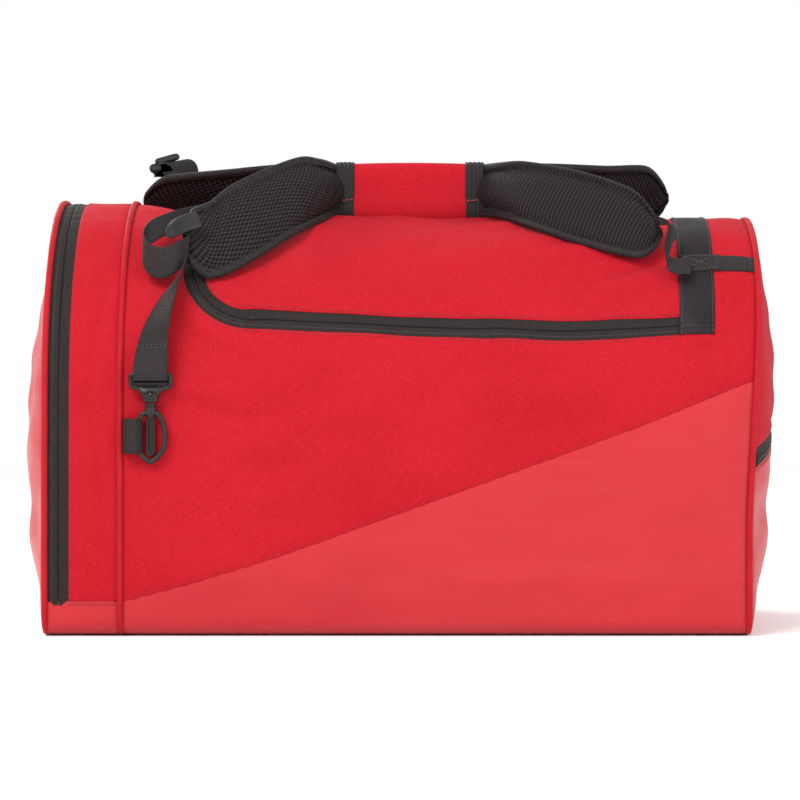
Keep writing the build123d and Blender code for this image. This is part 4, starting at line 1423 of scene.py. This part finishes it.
def bar(points, face, wide, deep, closed=False, sides=14):
    """Points and faces of a rounded bar along a 3-D line; face is the direction of its depth."""
    points = np.asarray(points, float)
    ahead = np.roll(points, -1, 0) - np.roll(points, 1, 0) if closed else np.gradient(points, axis=0)
    face = np.broadcast_to(np.asarray(face, float), points.shape)
    side = unit(np.cross(unit(ahead), face))
    angle = full_turn(sides)
    across = squared(np.cos(angle), 0.7) * wide
    over = squared(np.sin(angle), 0.7) * deep
    place = np.linspace(-1, 1, len(points))
    size = np.ones(len(points)) if closed else np.maximum(1 - np.abs(place) ** 8, 0.02) ** 0.5
    spread = side[:, None] * across[:, None] + face[:, None] * over[:, None]
    rings = points[:, None] + spread * size[:, None, None]
    return rings.reshape(-1, 3), ring_faces(len(points), sides, closed)


def rounded_loop(corners, count, soften):
    """A closed flat loop through its corners, evenly spaced and softened at each corner."""
    corners = np.array(corners + corners[:1], float)
    along = travelled(corners)
    places = np.linspace(0, along[-1], count, endpoint=False)
    loop = np.stack([np.interp(places, along, corners[:, k]) for k in range(2)], 1)
    for _ in range(soften):
        loop = (np.roll(loop, 1, 0) + 2 * loop + np.roll(loop, -1, 0)) / 4
    return loop


def lathe(centre_x, centre_y, profile, sides=24):
    """Points and faces of a turned shape about an upright axis; profile is (radius, height)."""
    angle = full_turn(sides)
    rings = [np.stack([centre_x + r * np.cos(angle), centre_y + r * np.sin(angle), np.full(sides, h)], 1)
             for r, h in profile]
    return np.concatenate(rings), ring_faces(len(profile), sides, False)


def merge(name, parts, material):
    """One mesh object from several closed parts."""
    points, faces, count = [], [], 0
    for part_points, part_faces in parts:
        points.append(part_points)
        faces += [tuple(count + k for k in face) for face in part_faces]
        count += len(part_points)
    points = np.concatenate(points)
    return make_mesh(name, points, faces, points[:, [0, 2]], material, 40)


HOOK_RING_HEIGHT = 0.045    # from the hook's foot to the shoulder of its neck
FACING = (0, 1, 0)          # the thickness of a flat moulding runs straight out of the bag's side


def make_snap_ring(name, x, y, foot, top):
    """The hook's rounded ring and the turned neck over it."""
    half = [(0.0, 0.0210), (0.0070, 0.0195), (0.0108, 0.0120), (0.0120, 0.0020), (0.0117, -0.0080),
            (0.0095, -0.0135), (0.0012, -0.0215)]
    loop = rounded_loop(half + [(-u, v) for u, v in half[:0:-1]], 96, 5)
    ring = np.stack([x + loop[:, 0], np.full(96, y), (foot + top) / 2 + loop[:, 1]], 1)
    neck = [(0.0003, top - 0.006), (0.0036, top - 0.006), (0.0052, top - 0.003),
            (0.0052, top + 0.0022), (0.0044, top + 0.0028), (0.0044, top + 0.0040),
            (0.0050, top + 0.0046), (0.0050, top + 0.0056), (0.0003, top + 0.0060)]
    parts = [bar(ring, FACING, 0.0022, 0.0030, closed=True), lathe(x, y, neck)]
    piece = merge(f"{name}_snap_ring", parts, MATERIALS["moulded_black"])
    settle(piece, name + "_hook", "moulded_black", f"{name}_hook")


def make_swivel_dee(name, side, x, y, foot):
    """The dee that the tail is looped round, with the cup, window and ball of its swivel."""
    dee_low, dee_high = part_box(f"{name}_hook_dee")
    wide = (dee_high.x - dee_low.x) / 2 - 0.0022
    mid, half = dee_high.z - 0.0085, 0.0064
    sine, cosine = np.sin(full_turn(96)), np.cos(full_turn(96))
    dee = np.stack([x + wide * squared(cosine, 0.42) * (0.97 + 0.05 * sine), np.full(96, y),
                    mid + half * squared(sine, 0.45)], 1)
    cup = []
    for wide_at, deep_at, height in ((0.0050, 0.0046, foot), (0.0066, 0.0056, foot + 0.0010),
                                     (0.0066, 0.0056, foot + 0.0050), (0.0098, 0.0048, foot + 0.0092),
                                     (0.0150, 0.0032, foot + 0.0128), (0.0150, 0.0020, foot + 0.0134)):
        across, deep = np.cos(full_turn(28)), np.sin(full_turn(28))
        cup.append(np.stack([x + wide_at * squared(across, 0.6), y + deep_at * squared(deep, 0.6),
                             np.full(28, height)], 1))
    turn = full_turn(40)
    window = np.stack([x + 0.0056 * np.cos(turn), np.full(40, y + side * 0.0052),
                       foot + 0.0070 + 0.0030 * np.sin(turn)], 1)
    parts = [bar(dee, FACING, 0.0021, 0.0027, closed=True),
             (np.concatenate(cup), ring_faces(len(cup), 28, False)),
             bar(window, FACING, 0.0009, 0.0012, closed=True)]
    piece = merge(f"{name}_swivel_dee", parts, MATERIALS["moulded_black"])
    settle(piece, "bag", "moulded_black", f"{name}_hook_dee")
    ball = [(0.0024 * cos(a), foot + 0.0070 + 0.0024 * sin(a)) for a in np.linspace(-1.5, 1.5, 11)]
    ball_part = lathe(x, y + side * 0.0044, ball)
    settle(merge(f"{name}_swivel_ball", [ball_part], MATERIALS["zip_metal"]), "bag", "zip_metal")


def make_gate_lever(name, side, x, y, mid):
    """The sprung gate: a narrow frame with a thin web across it."""
    rail = [(-0.0027, 0.0195), (-0.0027, -0.0120), (-0.0016, -0.0152), (0.0016, -0.0152),
            (0.0027, -0.0120), (0.0027, 0.0195)]
    corners = np.array([(x + u, y, mid + v) for u, v in rail])
    rails = [here + (there - here) * share
             for here, there in zip(corners, corners[1:]) for share in (0.0, 0.25, 0.5, 0.75)]
    rails = np.array(rails + [corners[-1]])
    web = [(x + u * 0.0026, y - side * 0.0006, mid + v) for u, v in
           ((-1, 0.019), (1, 0.019), (1, -0.0140), (-1, -0.0140))]
    web = np.array(web + [(u, v - side * 0.0008, w) for u, v, w in web])
    web_faces = [(0, 1, 2, 3), (7, 6, 5, 4), (0, 4, 5, 1), (1, 5, 6, 2), (2, 6, 7, 3), (3, 7, 4, 0)]
    parts = [bar(rails, FACING, 0.0012, 0.0022), (web, web_faces)]
    lever = merge(f"{name}_gate_lever", parts, MATERIALS["moulded_black"])
    settle(lever, f"{name}_gate", "moulded_black", f"{name}_hook_gate")


def make_snap_hooks():
    """The rounded mouldings of each snap hook: ring, dee with its swivel, and gate."""
    for name, side in SIDES:
        foot = low(f"{name}_hook").z
        top = foot + HOOK_RING_HEIGHT
        centre = middle(f"{name}_hook_dee")
        make_snap_ring(name, centre.x, centre.y, foot, top)
        make_swivel_dee(name, side, centre.x, centre.y, top + 0.0064)
        make_gate_lever(name, side, centre.x, centre.y, (foot + top) / 2)


def make_back_lock():
    """The back strap's ladder-lock: webbing arched over it like a tunnel, a roll on top and a foot."""
    origin = np.array(middle("back_ladder_lock"))
    run = np.array((0.0205, 0.014, 0.0052))
    arch = np.linspace(0, pi, 26)
    outside = np.stack([-0.0073 - 0.0100 * np.cos(arch), np.zeros(26),
                        -0.004 + 0.0140 * np.sin(arch) ** 0.8], 1)
    outside[:, 2] += np.linspace(0.0, -0.0012, 26)
    inside = outside * (0.86, 1, 0.88) + (-0.0008, 0, 0)
    profile = origin + np.concatenate([outside, inside[::-1]])
    steps = np.linspace(0, 1, 12)[:, None, None]
    tunnel = loft("back_lock_strap", profile[None] + steps * run, MATERIALS["webbing"], 40)
    settle(tunnel, "handle", "webbing", "back_lock_webbing")
    # The dark moulded caps that close the tunnel at both ends are partly painted shade of the tunnel's
    # inside, partly the webbing layers within.
    ends = []
    for share in (0.03, 0.97):
        fan = origin + run * share + np.concatenate([inside, inside[:1]])
        shrunk = [fan.mean(axis=0) + (fan - fan.mean(axis=0)) * size for size in (1.0, 0.5, 0.02)]
        ends.append((np.concatenate(shrunk), ring_faces(3, len(fan), False)))
    rim = origin + run * -0.02 + outside[1:-1]
    parts = ends + [bar(rim, FACING, 0.0009, 0.0012)]
    roll_low = origin + (-0.0164, 0, 0.0100)
    roll_high = origin + (0.0055, 0.012, 0.0172)
    parts.append(bar(np.linspace(roll_low, roll_high, 30), FACING, 0.0034, 0.0036))
    foot_low = origin + (-0.0215, -0.002, 0.0035)
    foot_high = origin + (0.004, 0.014, 0.0092)
    parts.append(bar(np.linspace(foot_low, foot_high, 30), FACING, 0.0046, 0.0042))
    frame_piece = merge("back_lock_frame", parts, MATERIALS["moulded_black"])
    settle(frame_piece, "handle", "moulded_black", "back_ladder_lock")


def make_pocket_wall():
    """The lining that parts the end pocket from the main compartment."""
    def place(y, z, up):
        y, z, up = level(y, z, up)
        return np.stack([X_RIGHT + end_lean(z) - up, y, z], -1)

    ys = np.arange(-DEPTH - 0.006, DEPTH + 0.012, 0.006)
    zs = np.arange(-0.006, LID_CREST + 0.012, 0.006)
    wall = patch("pocket_lining", ys, zs, rim_cut(1, 0.0008), place, MATERIALS["board"])
    settle(wall, "bag", "board", "pocket_inner_wall")


def make_hardware():
    bodies = {node: body for body, nodes in frame["record"]["behaviour"]["bodies"].items() for node in nodes}
    metal = [f"{name}_zip_{part}" for name in ("main", "end", "pocket") for part in ("slider", "pull")]
    for node in metal:
        piece = refine(node, 0.0003)
        piece.data.materials.clear()
        piece.data.materials.append(MATERIALS["zip_metal"])
        settle(piece, bodies[node], "zip_metal", node)
    for node in ("shoe_divider", "base_board"):
        for place in frame["nodes"][node].material_slots:
            place.material = MATERIALS["board"]


# ---------------------------------------------------------------- floor, light and camera


def make_stage():
    mesh = bpy.data.meshes.new("floor")
    reach = 6.0
    corners = [(-reach, -reach, 0), (reach, -reach, 0), (reach, reach, 0), (-reach, reach, 0)]
    mesh.from_pydata(corners, [], [(0, 1, 2, 3)])
    floor = add_object("floor", mesh)
    floor.location.z = min(cad_bounds[0][2], 0.0) - 0.0005
    paint = Paint("floor_white", Roughness=0.9, Specular_IOR_Level=0.1)
    speck = paint.noise(paint.object_place(), 3, 2)
    paint.colour(paint.mix(speck, (0.93, 0.93, 0.93, 1.0), (0.96, 0.96, 0.96, 1.0)))
    mesh.materials.append(paint.material)


def add_light(name, place, target, size, power):
    lamp = bpy.data.lights.new(name, "AREA")
    lamp.shape = "RECTANGLE"
    lamp.size, lamp.size_y = size
    lamp.energy = power
    thing = add_object(name, lamp)
    thing.location = place
    thing.rotation_euler = (Vector(target) - Vector(place)).to_track_quat("-Z", "Y").to_euler()


def make_light():
    world = bpy.data.worlds.new("studio")
    world.use_nodes = True
    world.node_tree.nodes["Background"].inputs["Color"].default_value = (1, 1, 1, 1)
    world.node_tree.nodes["Background"].inputs["Strength"].default_value = 1.0
    bpy.context.scene.world = world
    centre = (0, 0, 0.2)
    add_light("key", (-1.3, -2.3, 2.5), centre, (1.5, 1.5), 85)
    add_light("fill", (2.0, -1.8, 0.9), centre, (1.6, 1.6), 22)
    add_light("back_left", (-1.8, 1.9, 2.0), centre, (1.6, 1.6), 50)
    bpy.context.scene.view_settings.view_transform = "Standard"


def make_camera():
    distance, view_width, sensor = 2.4, 0.68, 36.0
    camera = bpy.data.cameras.new("camera")
    camera.sensor_width = sensor
    camera.lens = sensor * distance / view_width
    holder = add_object("camera", camera)
    holder.location = (middle("front_hook_dee").x + 0.211, -DEPTH - distance, SPRING + 0.0006)
    holder.rotation_euler = (radians(90), 0, 0)
    bpy.context.scene.camera = holder


make_main_panels()
make_main_zip()
make_seam_stitches()
make_piping()
make_gusset()
make_end_zip()
make_ends()
make_strip()
make_anchors()
make_pads()
make_wrap()
make_tails()
make_tabs()
make_loose_loop()
make_curls()
make_snap_hooks()
make_back_lock()
make_pocket_wall()
make_hardware()
make_stage()
make_light()
make_camera()
